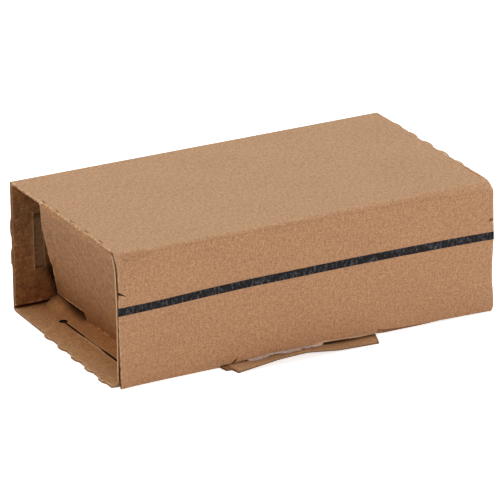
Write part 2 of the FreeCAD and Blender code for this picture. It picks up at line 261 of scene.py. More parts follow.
@dataclass
class BoardSheet:
    """A sheet of corrugated board between two grids of points.

    The thickness is a straight line from the outer grid to the inner one. A cut side has six points through
    the thickness: the two liners end flush and the core between them is set back.

    Attributes:
        outer: Grid of points of the outer face, rows by columns by three.
        inner: Grid of the inner face.
        across: Place across the flutes at each grid point.
        along: Place along the flutes at each grid point.
        keep: Which cells are there, or None for all.
        sunk: Which cells of the inner face lie at the bottom of a cut and take the near black finish of
            painted shade, or None.
        set_back: How deep the core lies at the first row, last row, first column and last column.
        wear: Rubbing at each grid point, with painted shade below 0, or None for none.
        inner_wear_and_shade: Rubbing and painted shade of the inner face, or None where it is the outer
            face's.
        end_wear_and_shade: Rubbing and painted shade of the cut sides at the first and last column, by row,
            or None for full rubbing.
        hole_face: Finish of the walls of the holes.
    """

    outer: Array
    inner: Array
    across: Array
    along: Array
    keep: Array | None = None
    sunk: Array | None = None
    set_back: tuple[float, float, float, float] = (0.4, 0.4, 0.4, 0.4)
    wear: Array | None = None
    inner_wear_and_shade: Array | None = None
    end_wear_and_shade: Array | None = None
    hole_face: Face = Face.CUT

    def there(self) -> Array:
        """Gives the cells that are kept: the given ones, or all."""
        rows, columns = self.outer.shape[:2]
        return np.ones((rows - 1, columns - 1), bool) if self.keep is None else self.keep

    def sheet_place(self) -> Array:
        """Gives the place of every grid point on the flat board, one row each."""
        return np.stack([self.across, self.along], axis=-1).reshape(-1, 2)

    def faces(self) -> Shell:
        """Makes the two broad faces out of the kept cells.

        Returns:
            The outer face and the inner one, which is turned over.
        """
        keep = self.there()
        rows, columns = self.outer.shape[:2]
        count = rows * columns
        top = grid_quads(rows, columns).reshape(rows - 1, columns - 1, 4)[keep]
        low = top[:, ::-1] + count
        under = np.full(len(low), Face.INNER.value)
        # Sunk cells take the near black finish: painted shade at the bottom of the cuts
        if self.sunk is not None:
            under[self.sunk[keep]] = Face.PAINTED_SHADE.value
        finish = np.concatenate([np.full(len(top), Face.OUTER.value), under])
        wear = np.zeros((rows, columns)) if self.wear is None else self.wear
        inner_wear_and_shade = wear if self.inner_wear_and_shade is None else self.inner_wear_and_shade
        rubbed_and_shaded = np.concatenate([wear.reshape(-1), inner_wear_and_shade.reshape(-1)])
        points = np.concatenate([self.outer.reshape(-1, 3), self.inner.reshape(-1, 3)])
        quads = np.concatenate([top, low])
        return Shell(points, quads, finish, np.tile(self.sheet_place(), (2, 1)), rubbed_and_shaded)

    def hole_walls(self) -> Shell:
        """Makes the walls round every dropped cell, in five steps through the thickness."""
        keep = self.there()
        rows, columns = self.outer.shape[:2]
        index = np.arange(rows * columns).reshape(rows, columns)
        a, b, c, d = index[:-1, :-1], index[:-1, 1:], index[1:, 1:], index[1:, :-1]
        padded = np.pad(keep, 1, constant_values=True)
        pairs = []
        for axis, step, first, second in ((0, -1, a, b), (0, 1, d, c), (1, -1, a, d), (1, 1, b, c)):
            beside = np.roll(padded, -step, axis=axis)[1:-1, 1:-1]
            open_side = keep & ~beside
            pairs.append(np.stack([first[open_side], second[open_side]], axis=-1))
        pair = np.concatenate(pairs)
        share = LINER_SHARES[:, None, None, None]
        outer, inner = self.outer.reshape(-1, 3)[pair], self.inner.reshape(-1, 3)[pair]
        points = (outer[None] * (1.0 - share) + inner[None] * share).reshape(-1, 3)
        order = np.arange(LAYERS * len(pair) * 2).reshape(LAYERS, len(pair), 2)
        corners = (order[:-1, :, 0], order[:-1, :, 1], order[1:, :, 1], order[1:, :, 0])
        quads = np.stack(corners, axis=-1).reshape(-1, 4)
        sheet = np.tile(self.sheet_place()[pair].reshape(-1, 2), (LAYERS, 1))
        return Shell(points, quads, np.full(len(quads), self.hole_face.value), sheet, np.zeros(len(points)))

    def cut_side(self, which: int) -> Shell:
        """Makes one cut side with its two liners and the core set back between them.

        Args:
            which: 0 and 1 for the first and last row, 2 and 3 for the first and last column.

        Returns:
            The open strip of faces along that side, where the cells beside it are kept.
        """
        edge, beside = ((0, 1), (-1, -2))[which % 2]
        rows = () if which < 2 else (slice(None),)
        line, next_line = rows + (edge,), rows + (beside,)
        outer, inner, alive = self.outer[line], self.inner[line], self.there()[line]
        inward = self.outer[next_line] - outer
        sheet = np.stack([self.across[line], self.along[line]], axis=-1)
        depth = self.set_back[which] * (np.append(False, alive) & np.append(alive, False))
        share = LINER_SHARES[:, None, None]
        points = outer[None] * (1.0 - share) + inner[None] * share
        points = points + unit(inward)[None] * (CORE_POINTS[:, None] * depth[None])[..., None]
        quads = grid_quads(LAYERS, len(outer))[np.tile(alive, LAYERS - 1)]
        deep = self.set_back[which] > DEEP_CUT
        # A deep core takes the near black finish: painted shade in the flute openings
        core = Face.PAINTED_SHADE.value if deep else Face.CUT.value
        rim = Face.FLUTE.value if deep and which == 1 else Face.CUT.value
        finish = np.repeat([rim, core, core, core, rim], int(alive.sum()))
        rubbed_and_shaded = np.full(LAYERS * len(outer), 0.0 if deep else 1.0)
        if which > 1 and self.end_wear_and_shade is not None:
            rubbed_and_shaded = np.tile(self.end_wear_and_shade, LAYERS)
        return Shell(points.reshape(-1, 3), quads, finish, np.tile(sheet, (LAYERS, 1)), rubbed_and_shaded)

    def shell(self) -> Shell:
        """Puts the faces, the walls of the holes and the four cut sides together."""
        return join([self.faces(), self.hole_walls()] + [self.cut_side(which) for which in range(4)])


def fluting(edge_outer: Array, edge_inner: Array, inward: Array, distance: Array, depth: float,
            crushed: bool = False) -> Shell:
    """The wavy paper between the liners, as far in from a cut edge as one can see.

    At distance q along the edge the paper's middle lies half way through the board plus a swing times the
    sine of 2 pi q over the pitch. It is drawn straight inwards to the given depth and has a thickness of its
    own.

    Args:
        edge_outer: Points along the edge on the outer face.
        edge_inner: The matching points on the inner face.
        inward: Direction into the board at each of them.
        distance: Distance along the edge at each of them.
        depth: How far the paper runs in.
        crushed: Whether the inner liner is pressed down, so that the waves are open at the outer one only.

    Returns:
        The closed ribbon of paper.
    """
    steps_a_wave, paper_start, half_paper = 10, 0.06, 0.19 / BOARD
    count = max(8, int(abs(distance[-1] - distance[0]) / FLUTE_PITCH * steps_a_wave))
    at = np.linspace(distance[0], distance[-1], count)

    def along(values: Array) -> Array:
        """Reads a row of points at the finer places."""
        return np.stack([np.interp(at, distance, values[:, axis]) for axis in range(3)], axis=-1)

    outer, inner, inward_fine = along(edge_outer), along(edge_inner), unit(along(inward))
    swing = 0.5 - LINER_SHARE - half_paper
    middle = 0.5 + swing * np.sin(2.0 * math.pi * at / FLUTE_PITCH)
    ring = []
    for side, far in ((-1, paper_start), (1, paper_start), (1, depth), (-1, depth), (-1, paper_start)):
        share = (middle + side * half_paper)[:, None]
        if crushed and side > 0:
            share = np.full_like(share, 1.0 - LINER_SHARE)
        ring.append(outer * (1.0 - share) + inner * share + inward_fine * far)
    points = np.stack(ring).reshape(-1, 3)
    first = np.arange(len(ring) - 1) * count
    caps = np.array([first, first[::-1] + count - 1])
    quads = np.concatenate([grid_quads(len(ring), count), caps])
    sheet = np.tile(np.stack([at, np.zeros(count)], axis=-1), (len(ring), 1))
    return Shell(points, quads, np.full(len(quads), Face.FLUTE.value), sheet, np.zeros(len(sheet)))


# Meshes


def to_frame(points: Array) -> Array:
    """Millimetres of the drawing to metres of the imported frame."""
    return (points + np.array([0.0, Y_SHIFT, 0.0])) * MM


def mesh_of(shell: Shell) -> bpy.types.Mesh:
    """Writes one shell into a mesh, joins its doubled points and turns its faces outwards.

    Args:
        shell: A surface that closes once points at the same place are one.

    Returns:
        The mesh, with the sheet place as a vector and the rubbing and painted shade as a value on its
        points.
    """
    mesh = bpy.data.meshes.new("shell")
    mesh.from_pydata(to_frame(shell.points).tolist(), [], shell.quads.tolist())
    mesh.polygons.foreach_set("material_index", shell.finish.astype(np.int32))
    place = mesh.attributes.new("sheet", "FLOAT_VECTOR", "POINT")
    place.data.foreach_set("vector", np.pad(shell.sheet * MM, ((0, 0), (0, 1))).ravel())
    # One value per point: rubbing above 0, painted shade below 0
    rubbed_and_painted_light = mesh.attributes.new("wear", "FLOAT", "POINT")
    rubbed_and_painted_light.data.foreach_set("value", shell.wear.astype(float).ravel())
    work = bmesh.new()
    work.from_mesh(mesh)
    bmesh.ops.remove_doubles(work, verts=work.verts, dist=WELD)
    bmesh.ops.dissolve_degenerate(work, dist=WELD / 20.0, edges=work.edges)
    loose = [v for v in work.verts if not v.link_faces]
    bmesh.ops.delete(work, geom=loose, context="VERTS")
    bmesh.ops.recalc_face_normals(work, faces=work.faces)
    work.to_mesh(mesh)
    work.free()
    return mesh


def make_piece(name: str, shells: Sequence[Shell], finishes: Sequence[bpy.types.Material],
               node: str) -> bpy.types.Object:
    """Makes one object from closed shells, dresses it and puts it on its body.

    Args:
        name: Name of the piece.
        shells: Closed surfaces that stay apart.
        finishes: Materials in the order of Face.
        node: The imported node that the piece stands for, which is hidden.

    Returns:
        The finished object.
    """
    work = bmesh.new()
    for shell in shells:
        part = mesh_of(shell)
        work.from_mesh(part)
        bpy.data.meshes.remove(part)
    mesh = bpy.data.meshes.new(name)
    work.to_mesh(mesh)
    work.free()
    for finish in finishes:
        mesh.materials.append(finish)
    mesh.polygons.foreach_set("use_smooth", np.ones(len(mesh.polygons), bool))
    mesh.set_sharp_from_angle(angle=SHARP_ANGLE)
    piece = bpy.data.objects.new(name, mesh)
    bpy.context.scene.collection.objects.link(piece)
    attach(piece, BODY)
    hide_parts(node)
    log.info("%s: %d faces", name, len(mesh.polygons))
    return piece


# Finishes


@dataclass(frozen=True)
class Wiring:
    """A shader tree, with a method for each step that the finishes share.

    Attributes:
        tree: The node tree.
    """

    tree: bpy.types.NodeTree

    def add(self, kind: str) -> bpy.types.Node:
        """Adds a node of the given kind."""
        return self.tree.nodes.new("ShaderNode" + kind)

    def feed(self, node: bpy.types.Node, inputs: dict) -> bpy.types.Node:
        """Links or sets inputs of a node.

        Args:
            node: The node.
            inputs: By name or number, a socket to link or a plain value to set.

        Returns:
            The same node.
        """
        for name, value in inputs.items():
            if isinstance(value, Socket):
                self.tree.links.new(value, node.inputs[name])
            else:
                node.inputs[name].default_value = value
        return node

    def attribute(self, name: str, output: str) -> Socket:
        """Reads an attribute of the mesh through the named output."""
        node = self.add("Attribute")
        node.attribute_name = name
        return node.outputs[output]

    def noise(self, source: Socket, scale: float, detail: float, rough: float) -> Socket:
        """Adds a noise pattern.

        Args:
            source: Vector that the pattern follows.
            scale: Waves to the metre.
            detail: Octaves of the noise.
            rough: How strong the finer octaves are.

        Returns:
            Its value, from 0 to 1.
        """
        inputs = {"Scale": scale, "Detail": detail, "Roughness": rough, "Vector": source}
        return self.feed(self.add("TexNoise"), inputs).outputs["Fac"]

    def stretched(self, source: Socket, scale: Point) -> Socket:
        """Scales the space that a pattern follows, so that a small number draws the pattern out."""
        return self.feed(self.add("Mapping"), {"Vector": source, "Scale": scale}).outputs[0]

    def remap(self, source: Socket, old: Range, new: Range) -> Socket:
        """Stretches a value from one range to another and clamps it.

        Args:
            source: The value.
            old: Range that is read.
            new: Range that comes out.

        Returns:
            The stretched value.
        """
        inputs = {"From Min": old[0], "From Max": old[1], "To Min": new[0], "To Max": new[1]}
        return self.feed(self.add("MapRange"), {"Value": source, **inputs}).outputs["Result"]

    def calc(self, operation: str, first: Socket, second: Socket | float) -> Socket:
        """Adds one arithmetic step.

        Args:
            operation: Blender's name of the step.
            first: First value.
            second: Second value, linked or plain.

        Returns:
            The result.
        """
        node = self.add("Math")
        node.operation = operation
        return self.feed(node, {0: first, 1: second}).outputs[0]

    def vector(self, operation: str, inputs: dict) -> Socket:
        """Adds one step on vectors, whose inputs are given as feed takes them."""
        node = self.add("VectorMath")
        node.operation = operation
        return self.feed(node, inputs).outputs["Vector"]

    def mix(self, factor: Socket, first: Socket | Colour, second: Socket | Colour) -> Socket:
        """Mixes two colours.

        Args:
            factor: 0 for the first colour, 1 for the second.
            first: First colour, linked or plain.
            second: Second colour, linked or plain.

        Returns:
            The mixed colour.
        """
        node = self.add("Mix")
        node.data_type = "RGBA"
        low, high = [one if isinstance(one, Socket) else (*one, 1.0) for one in (first, second)]
        return self.feed(node, {"Factor": factor, "A": low, "B": high}).outputs["Result"]

    def bump(self, height: Socket, distance: float) -> Socket:
        """Turns a height of up to the distance, in metres, into a normal."""
        inputs = {"Height": height, "Distance": distance, "Strength": 1.0}
        return self.feed(self.add("Bump"), inputs).outputs["Normal"]

    def group(self, shared: bpy.types.NodeTree, inputs: dict) -> bpy.types.NodeOutputs:
        """Places a shared group, feeds it and gives its outputs."""
        node = self.add("Group")
        node.node_tree = shared
        return self.feed(node, inputs).outputs

    def by_ray(self, rays: tuple[str, str], other: Socket, seen: Socket) -> Socket:
        """Chooses a shader by the kind of ray.

        Args:
            rays: Light Path's names of the two kinds that meet the second shader.
            other: Shader for all other rays.
            seen: Shader for those two.

        Returns:
            The mixed shader.
        """
        path = self.add("LightPath").outputs
        either = self.calc("MAXIMUM", path[rays[0]], path[rays[1]])
        return self.feed(self.add("MixShader"), {"Fac": either, 1: other, 2: seen}).outputs[0]


def new_group(name: str, takes: Sequence[str],
              gives: Sequence[str]) -> tuple[Wiring, Sockets, bpy.types.Node]:
    """Starts a shader node group that takes the vector Place and some values, and gives values.

    Args:
        name: Name of the group.
        takes: Names of the values that it takes.
        gives: Names of the values that it gives.

    Returns:
        The group's wiring, the sockets that it takes and its output node.
    """
    group = bpy.data.node_groups.new(name, "ShaderNodeTree")
    group.interface.new_socket(name="Place", in_out="INPUT", socket_type="NodeSocketVector")
    for label in takes:
        group.interface.new_socket(name=label, in_out="INPUT", socket_type="NodeSocketFloat")
    for label in gives:
        group.interface.new_socket(name=label, in_out="OUTPUT", socket_type="NodeSocketFloat")
    return Wiring(group), group.nodes.new("NodeGroupInput").outputs, group.nodes.new("NodeGroupOutput")


def new_material(name: str, colour: Colour) -> tuple[bpy.types.Material, Wiring, bpy.types.Node]:
    """Starts a material.

    Args:
        name: Name of the material.
        colour: Its colour in a plain viewport.

    Returns:
        The material, its wiring and its Principled shader.
    """
    material = bpy.data.materials.new(name)
    material.use_nodes = True
    material.diffuse_color = (*colour, 1.0)
    return material, Wiring(material.node_tree), material.node_tree.nodes["Principled BSDF"]


def fibre_group() -> bpy.types.NodeTree:
    """Paper fibres: a fine speckle, longer fibres along the flutes, a cloudiness and larger blotches.

    The tone is one plus each pattern's swing about its middle. The height is the fine and the long fibres
    together.

    Returns:
        The group, with inputs Place, Strength and Blotch and outputs Tone, Warmth and Height.
    """
    wiring, start, end = new_group("paper_fibre", ("Strength", "Blotch"), ("Tone", "Warmth", "Height"))
    place = start["Place"]
    fine = wiring.noise(place, 1000.0, 2.0, 0.6)
    long = wiring.noise(wiring.stretched(place, (1.0, 0.22, 1.0)), 800.0, 2.0, 0.5)
    cloud = wiring.noise(place, 430.0, 3.0, 0.62)
    slow = wiring.noise(place, 24.0, 3.0, 0.5)
    total = None
    for pattern, swing in ((fine, 1.55), (long, 0.50), (cloud, 0.65), (slow, 0.16)):
        part = wiring.calc("MULTIPLY", wiring.calc("SUBTRACT", pattern, 0.5), swing)
        total = part if total is None else wiring.calc("ADD", total, part)
    blotch = wiring.calc("SUBTRACT", wiring.noise(place, 150.0, 3.0, 0.6), 0.5)
    blotch = wiring.calc("MULTIPLY", blotch, start["Blotch"])
    scaled = wiring.calc("ADD", wiring.calc("MULTIPLY", total, start["Strength"]), blotch)
    wiring.feed(end, {
        "Tone": wiring.calc("ADD", scaled, 1.0),
        "Warmth": wiring.remap(cloud, (0.3, 0.7), (0.0, 1.0)),
        "Height": wiring.calc("ADD", fine, long),
    })
    return wiring.tree


def ribs_group() -> bpy.types.NodeTree:
    """The faint ribs that the flutes leave in the liner: a sine wave of the place across them.

    Noise shifts the wave a little along the sheet and fades it in patches.

    Returns:
        The group, with inputs Place and Depth and outputs Tone and Height.
    """
    wiring, start, end = new_group("flute_ribs", ("Depth",), ("Tone", "Height"))
    place = start["Place"]
    across = wiring.feed(wiring.add("SeparateXYZ"), {0: place}).outputs["X"]
    drift = wiring.calc("MULTIPLY", wiring.noise(place, 40.0, 2.0, 0.5), 2.2)
    turned = wiring.calc("ADD", wiring.calc("MULTIPLY", across, 2.0 * math.pi / (FLUTE_PITCH * MM)), drift)
    patchy = wiring.remap(wiring.noise(place, 30.0, 2.0, 0.5), (0.35, 0.65), (0.3, 1.0))
    wave = wiring.calc("MULTIPLY", wiring.calc("SINE", turned, 0.0), patchy)
    shaped = wiring.calc("MULTIPLY", wave, start["Depth"])
    wiring.feed(end, {
        "Tone": wiring.calc("ADD", wiring.calc("MULTIPLY", shaped, 0.008), 1.0),
        "Height": wiring.calc("MULTIPLY", shaped, 0.4),
    })
    return wiring.tree


def rub_and_highlight_group() -> bpy.types.NodeTree:
    """Rubbed edges and creases, with painted highlights along some edges: the mesh's value, broken up by
    noise.

    Returns:
        The group, with inputs Place and Wear and the output Mask.
    """
    wiring, start, end = new_group("rubbed_and_highlighted_edge", ("Wear",), ("Mask",))
    patch = wiring.noise(start["Place"], 260.0, 4.0, 0.65)
    raised = wiring.calc("ADD", patch, wiring.calc("MULTIPLY", start["Wear"], 0.62))
    wiring.feed(end, {"Mask": wiring.remap(raised, (0.72, 1.08), (0.0, 1.0))})
    return wiring.tree


@dataclass(frozen=True)
class PaperFinish:
    """A finish of kraft paper or cut board.

    Attributes:
        name: Name of the material.
        colour: Middle colour of the paper, linear.
        warm: Colour of its darker, warmer patches.
        rubbed_and_painted_light: Colour of rubbing, which on the end walls also paints a highlight along
            their edges.
        rough: Roughness.
        rough_swing: How far the fibres change the roughness.
        strength: Swing of the fibre pattern, 1 for a normal liner.
        blotch: Swing of the larger blotches.
        ribs: Depth of the flute ribs, from 0 to 1.
        grain_depth: Height of the fibres, in metres.
        gloss: Strength of the mirror part, 0.5 for plain plastic.
        painted_shade: What full painted shade leaves of red, green and blue, besides darkening: a warm tint
            in place of the glow that bounces between kraft walls.
    """

    name: str
    colour: Colour
    warm: Colour
    rubbed_and_painted_light: Colour
    rough: float = 0.78
    rough_swing: float = 0.05
    strength: float = 1.0
    blotch: float = 0.15
    ribs: float = 0.0
    grain_depth: float = 0.00004
    gloss: float = 0.26
    painted_shade: Colour = (1.0, 0.76, 0.56)

    def build(self, groups: dict[str, bpy.types.NodeTree]) -> bpy.types.Material:
        """Makes the material: colour from all patterns, painted shade and rubbing, height from fibres and
        ribs.

        Args:
            groups: The shared node groups by name.

        Returns:
            The material.
        """
        material, wiring, shader = new_material(self.name, self.colour)
        place, wear = wiring.attribute("sheet", "Vector"), wiring.attribute("wear", "Fac")
        inputs = {"Place": place, "Strength": self.strength, "Blotch": self.blotch}
        fibre = wiring.group(groups["fibre"], inputs)
        ribs = wiring.group(groups["ribs"], {"Place": place, "Depth": self.ribs})
        rub_and_highlight = wiring.group(groups["rub_and_highlight"], {"Place": place, "Wear": wear})
        patches = wiring.mix(fibre["Warmth"], self.warm, self.colour)
        tone = wiring.calc("MULTIPLY", fibre["Tone"], ribs["Tone"])
        # Below 0 the mesh value is painted shade: it darkens the colour and tints it warm
        shade_factor = wiring.calc("MINIMUM", wiring.calc("ADD", wear, 1.0), 1.0)
        shade = wiring.vector("SCALE", {0: patches, "Scale": wiring.calc("MULTIPLY", tone, shade_factor)})
        tint = wiring.mix(wiring.calc("MULTIPLY", wear, -1.0), (1.0, 1.0, 1.0), self.painted_shade)
        tinted = wiring.vector("MULTIPLY", {0: shade, 1: tint})
        height = wiring.calc("ADD", fibre["Height"], ribs["Height"])
        rough = (self.rough - self.rough_swing, self.rough + self.rough_swing)
        wiring.feed(shader, {
            "Specular IOR Level": self.gloss,
            "Base Color": wiring.mix(rub_and_highlight["Mask"], tinted, self.rubbed_and_painted_light),
            "Roughness": wiring.remap(fibre["Tone"], (0.94, 1.06), rough),
            "Normal": wiring.bump(height, self.grain_depth),
        })
        return material


@dataclass(frozen=True)
class TapeFinish:
    """The dark reinforced tape: near black film with pale speckles where its threads show.

    Attributes:
        name: Name of the material.
        film: Colour of the film.
        thread: Colour of the speckles.
        rough: Roughness of the film.
        gloss: Strength of the mirror part.
        thread_depth: Height of the threads, in metres.
    """

    name: str = "tear_tape"
    film: Colour = (0.0085, 0.0066, 0.0078)
    thread: Colour = (0.075, 0.078, 0.088)
    rough: float = 0.5
    gloss: float = 0.06
    thread_depth: float = 0.00008

    def build(self) -> bpy.types.Material:
        """Makes the material: cross threads from stretched noise along X, fine speckle from a finer one."""
        material, wiring, shader = new_material(self.name, self.film)
        spot = wiring.add("TexCoord").outputs["Object"]
        bars = wiring.noise(wiring.stretched(spot, (1.0, 1.0, 0.45)), 520.0, 3.0, 0.75)
        threads = wiring.remap(bars, (0.50, 0.68), (0.0, 1.0))
        grit = wiring.remap(wiring.noise(spot, 1500.0, 2.0, 0.6), (0.5, 0.75), (0.0, 0.3))
        wiring.feed(shader, {
            "Specular IOR Level": self.gloss,
            "Base Color": wiring.mix(wiring.calc("ADD", threads, grit), self.film, self.thread),
            "Roughness": wiring.remap(bars, (0.3, 0.7), (self.rough - 0.08, self.rough + 0.14)),
            "Normal": wiring.bump(bars, self.thread_depth),
        })
        return material


@dataclass
class Finishes:
    """All finishes of the carton, made once.

    Attributes:
        made: Materials by name.
    """

    made: dict[str, bpy.types.Material] = field(default_factory=dict)

    def build(self) -> None:
        """Makes the shared groups and every material."""
        groups = {"fibre": fibre_group(), "ribs": ribs_group(), "rub_and_highlight": rub_and_highlight_group()}
        papers = (
            PaperFinish("outer_liner", (0.432, 0.239, 0.130), (0.408, 0.216, 0.112), (0.60, 0.38, 0.23),
                        ribs=0.5),
            PaperFinish("inner_liner", (0.576, 0.342, 0.182), (0.508, 0.275, 0.130), (0.76, 0.54, 0.37),
                        ribs=0.4, strength=0.9, blotch=0.55),
            # A darker, warmer copy of the outer liner for the slanting end walls: painted shade of the
            # recess; its rubbing colour is pale enough to paint highlights on their edges
            PaperFinish("end_liner_shaded", (0.440, 0.229, 0.111), (0.385, 0.190, 0.088), (0.95, 0.72, 0.52),
                        ribs=1.0, strength=1.4, blotch=1.1),
            # A darker, warmer copy of the inner liner for the back ply: painted shade of the recess
            PaperFinish("ply_liner_shaded", (0.480, 0.222, 0.086), (0.375, 0.160, 0.058), (0.70, 0.44, 0.26),
                        ribs=1.0, strength=1.2, blotch=1.3),
            PaperFinish("cut_edge", (0.50, 0.290, 0.160), (0.40, 0.215, 0.108), (0.92, 0.66, 0.45),
                        strength=0.8),
            PaperFinish("fluting_paper", (0.34, 0.185, 0.095), (0.26, 0.138, 0.068), (0.42, 0.24, 0.13)),
            # Near black: painted shade in cuts, gaps and flute openings
            PaperFinish("cut_depth", (0.030, 0.014, 0.007), (0.022, 0.010, 0.005), (0.04, 0.02, 0.01)),
            PaperFinish("release_paper", (0.78, 0.62, 0.55), (0.60, 0.46, 0.40), (0.80, 0.68, 0.62),
                        rough=0.5, strength=0.8),
            PaperFinish("glue_band", (0.60, 0.50, 0.34), (0.52, 0.42, 0.27), (0.64, 0.55, 0.40),
                        rough=0.35),
        )
        for paper in papers:
            self.made[paper.name] = paper.build(groups)
        tape = TapeFinish()
        self.made[tape.name] = tape.build()

    def board(self, outer: str = "outer_liner") -> list[bpy.types.Material]:
        """Gives the materials of corrugated board in the order of Face.

        Args:
            outer: Name of the outer face's finish.

        Returns:
            The materials.
        """
        names = (outer, "inner_liner", "cut_edge", "fluting_paper", "cut_depth")
        return [self.made[name] for name in names]

    def plain(self, name: str) -> list[bpy.types.Material]:
        """Gives one finish for every kind of face."""
        return [self.made[name]] * len(Face)


# The pieces


def inside_shade(x: Array, z: Array, ahead: float = 3.0) -> Array:
    """Painted shade behind the slanting end walls: it starts in front of their plane and is full 2.5 mm
    behind it.

    Args:
        x: Places along the carton.
        z: Heights.
        ahead: How far in front of the plane it starts.

    Returns:
        The shade from 0 to 1.
    """
    plane = HALF_LENGTH - (HEIGHT - BOARD - z) * FOOT_INSET / (HEIGHT - 2 * BOARD)
    return smoothstep(plane - np.abs(x), -ahead, 2.5)


@dataclass
class FrontFold:
    """The soft fold between front flap and top, which opens towards both ends.

    Attributes:
        stations: Places along X.
        heights: Height at which the flap starts to bend in, at each station.
        depths: Distance behind the flap's face at which it lies flat as the top, at each station.
        fullness: Share of the run to the corner that each end of the bend keeps its direction.
        droop: How far the top sinks at the front right corner.
    """

    stations: Row = (-148.5, -123.5, 71.5, 148.5)
    heights: Row = (79.0, 95.5, 94.0, 90.0)
    depths: Row = (8.0, 2.0, 5.0, 10.5)
    fullness: float = 0.42
    droop: float = 1.2

    def height(self, x: Array) -> Array:
        """Gives the height at which the bend starts."""
        return soft_interp(x, self.stations, self.heights, 5.0)

    def depth(self, x: Array) -> Array:
        """Gives the distance back at which the bend ends."""
        return soft_interp(x, self.stations, self.depths, 8.0)

    def sag(self, x: Array, y: Array) -> Array:
        """Gives how far the top sinks towards its front right corner."""
        return self.droop * smoothstep(x, 70.0, HALF_LENGTH) * falloff(y, 12.0, 75.0)

    def bend(self, x: Array, t: Array) -> tuple[Array, Array]:
        """A cubic curve from the flap's face, whose handles point up the flap and back along the top.

        Args:
            x: Places along the carton, as columns.
            t: Shares of the curve, as rows.

        Returns:
            Y and Z of the outer face.
        """
        low, deep = self.height(x)[None], self.depth(x)[None]
        rise = HEIGHT - low
        t = t[:, None]
        first, second, third = 3 * (1 - t) ** 2 * t, 3 * (1 - t) * t ** 2, t ** 3
        y = second * deep * (1 - self.fullness) + third * deep
        z = low * (1 - t) ** 3 + first * (low + rise * self.fullness) + (second + third) * HEIGHT
        return y, z


@dataclass
class Waves:
    """A row of waves along a cut edge.

    Attributes:
        start: Where the first wave starts.
        count: Number of waves.
        height: How far they stand out.
        rise: Length of the side that comes first.
        fall: Length of the other side.
        pitch: Distance between two waves.
        length: Length of one wave.
    """

    start: float
    count: int
    height: float
    rise: float
    fall: float
    pitch: float = 22.8
    length: float = 15.5

    def out(self, at: Array) -> Array:
        """How far the edge stands out: a sine squared up, a nearly level crest and a sine squared down.

        Args:
            at: Places along the edge.

        Returns:
            The distance, in millimetres.
        """
        step = np.clip(np.floor((at - self.start) / self.pitch), 0, self.count - 1)
        within = (at - self.start) - step * self.pitch
        up = np.clip(within / self.rise, 0, 1)
        down = np.clip((self.length - within) / self.fall, 0, 1)
        level = 0.82 + 0.18 * np.clip(within / self.length, 0, 1)
        return self.height * level * np.sin(up * math.pi / 2) ** 2 * np.sin(down * math.pi / 2) ** 2


@dataclass(frozen=True)
class WrapWearAndShade:
    """How much rubbing and painted shade each place of the wrap gets, from 0 to 1.

    Attributes:
        fold: Rubbing of the hard folds.
        end: Rubbing beside the end edges.
        far_lip: Rubbing of the floor cuts' lips, past their first millimetre.
        inside: Painted shade behind the end walls.
        foot: Painted shade at the foot of the back wall.
        back: Painted shade of the rest of the back wall's inner face.
        hidden_shade: Painted shade of the wall behind the flap.
        bend: Painted shade along the soft fold's turn.
        toe: Painted shade of the pushed out lower fold.
        nick: Painted shade of the small nick at the flap's right end.
        start: Painted shade of the torn corner at the top's left end.
        slit: Painted shade of the tear beside the tongue.
        crease: Paleness of the crease that the tear ends in.
    """

    fold: float = 0.3
    end: float = 0.8
    far_lip: float = 0.55
    inside: float = 0.9
    foot: float = 0.93
    back: float = 0.2
    hidden_shade: float = 0.88
    bend: float = 0.09
    toe: float = 0.25
    nick: float = 0.9
    start: float = 0.75
    slit: float = 0.9
    crease: float = 0.6


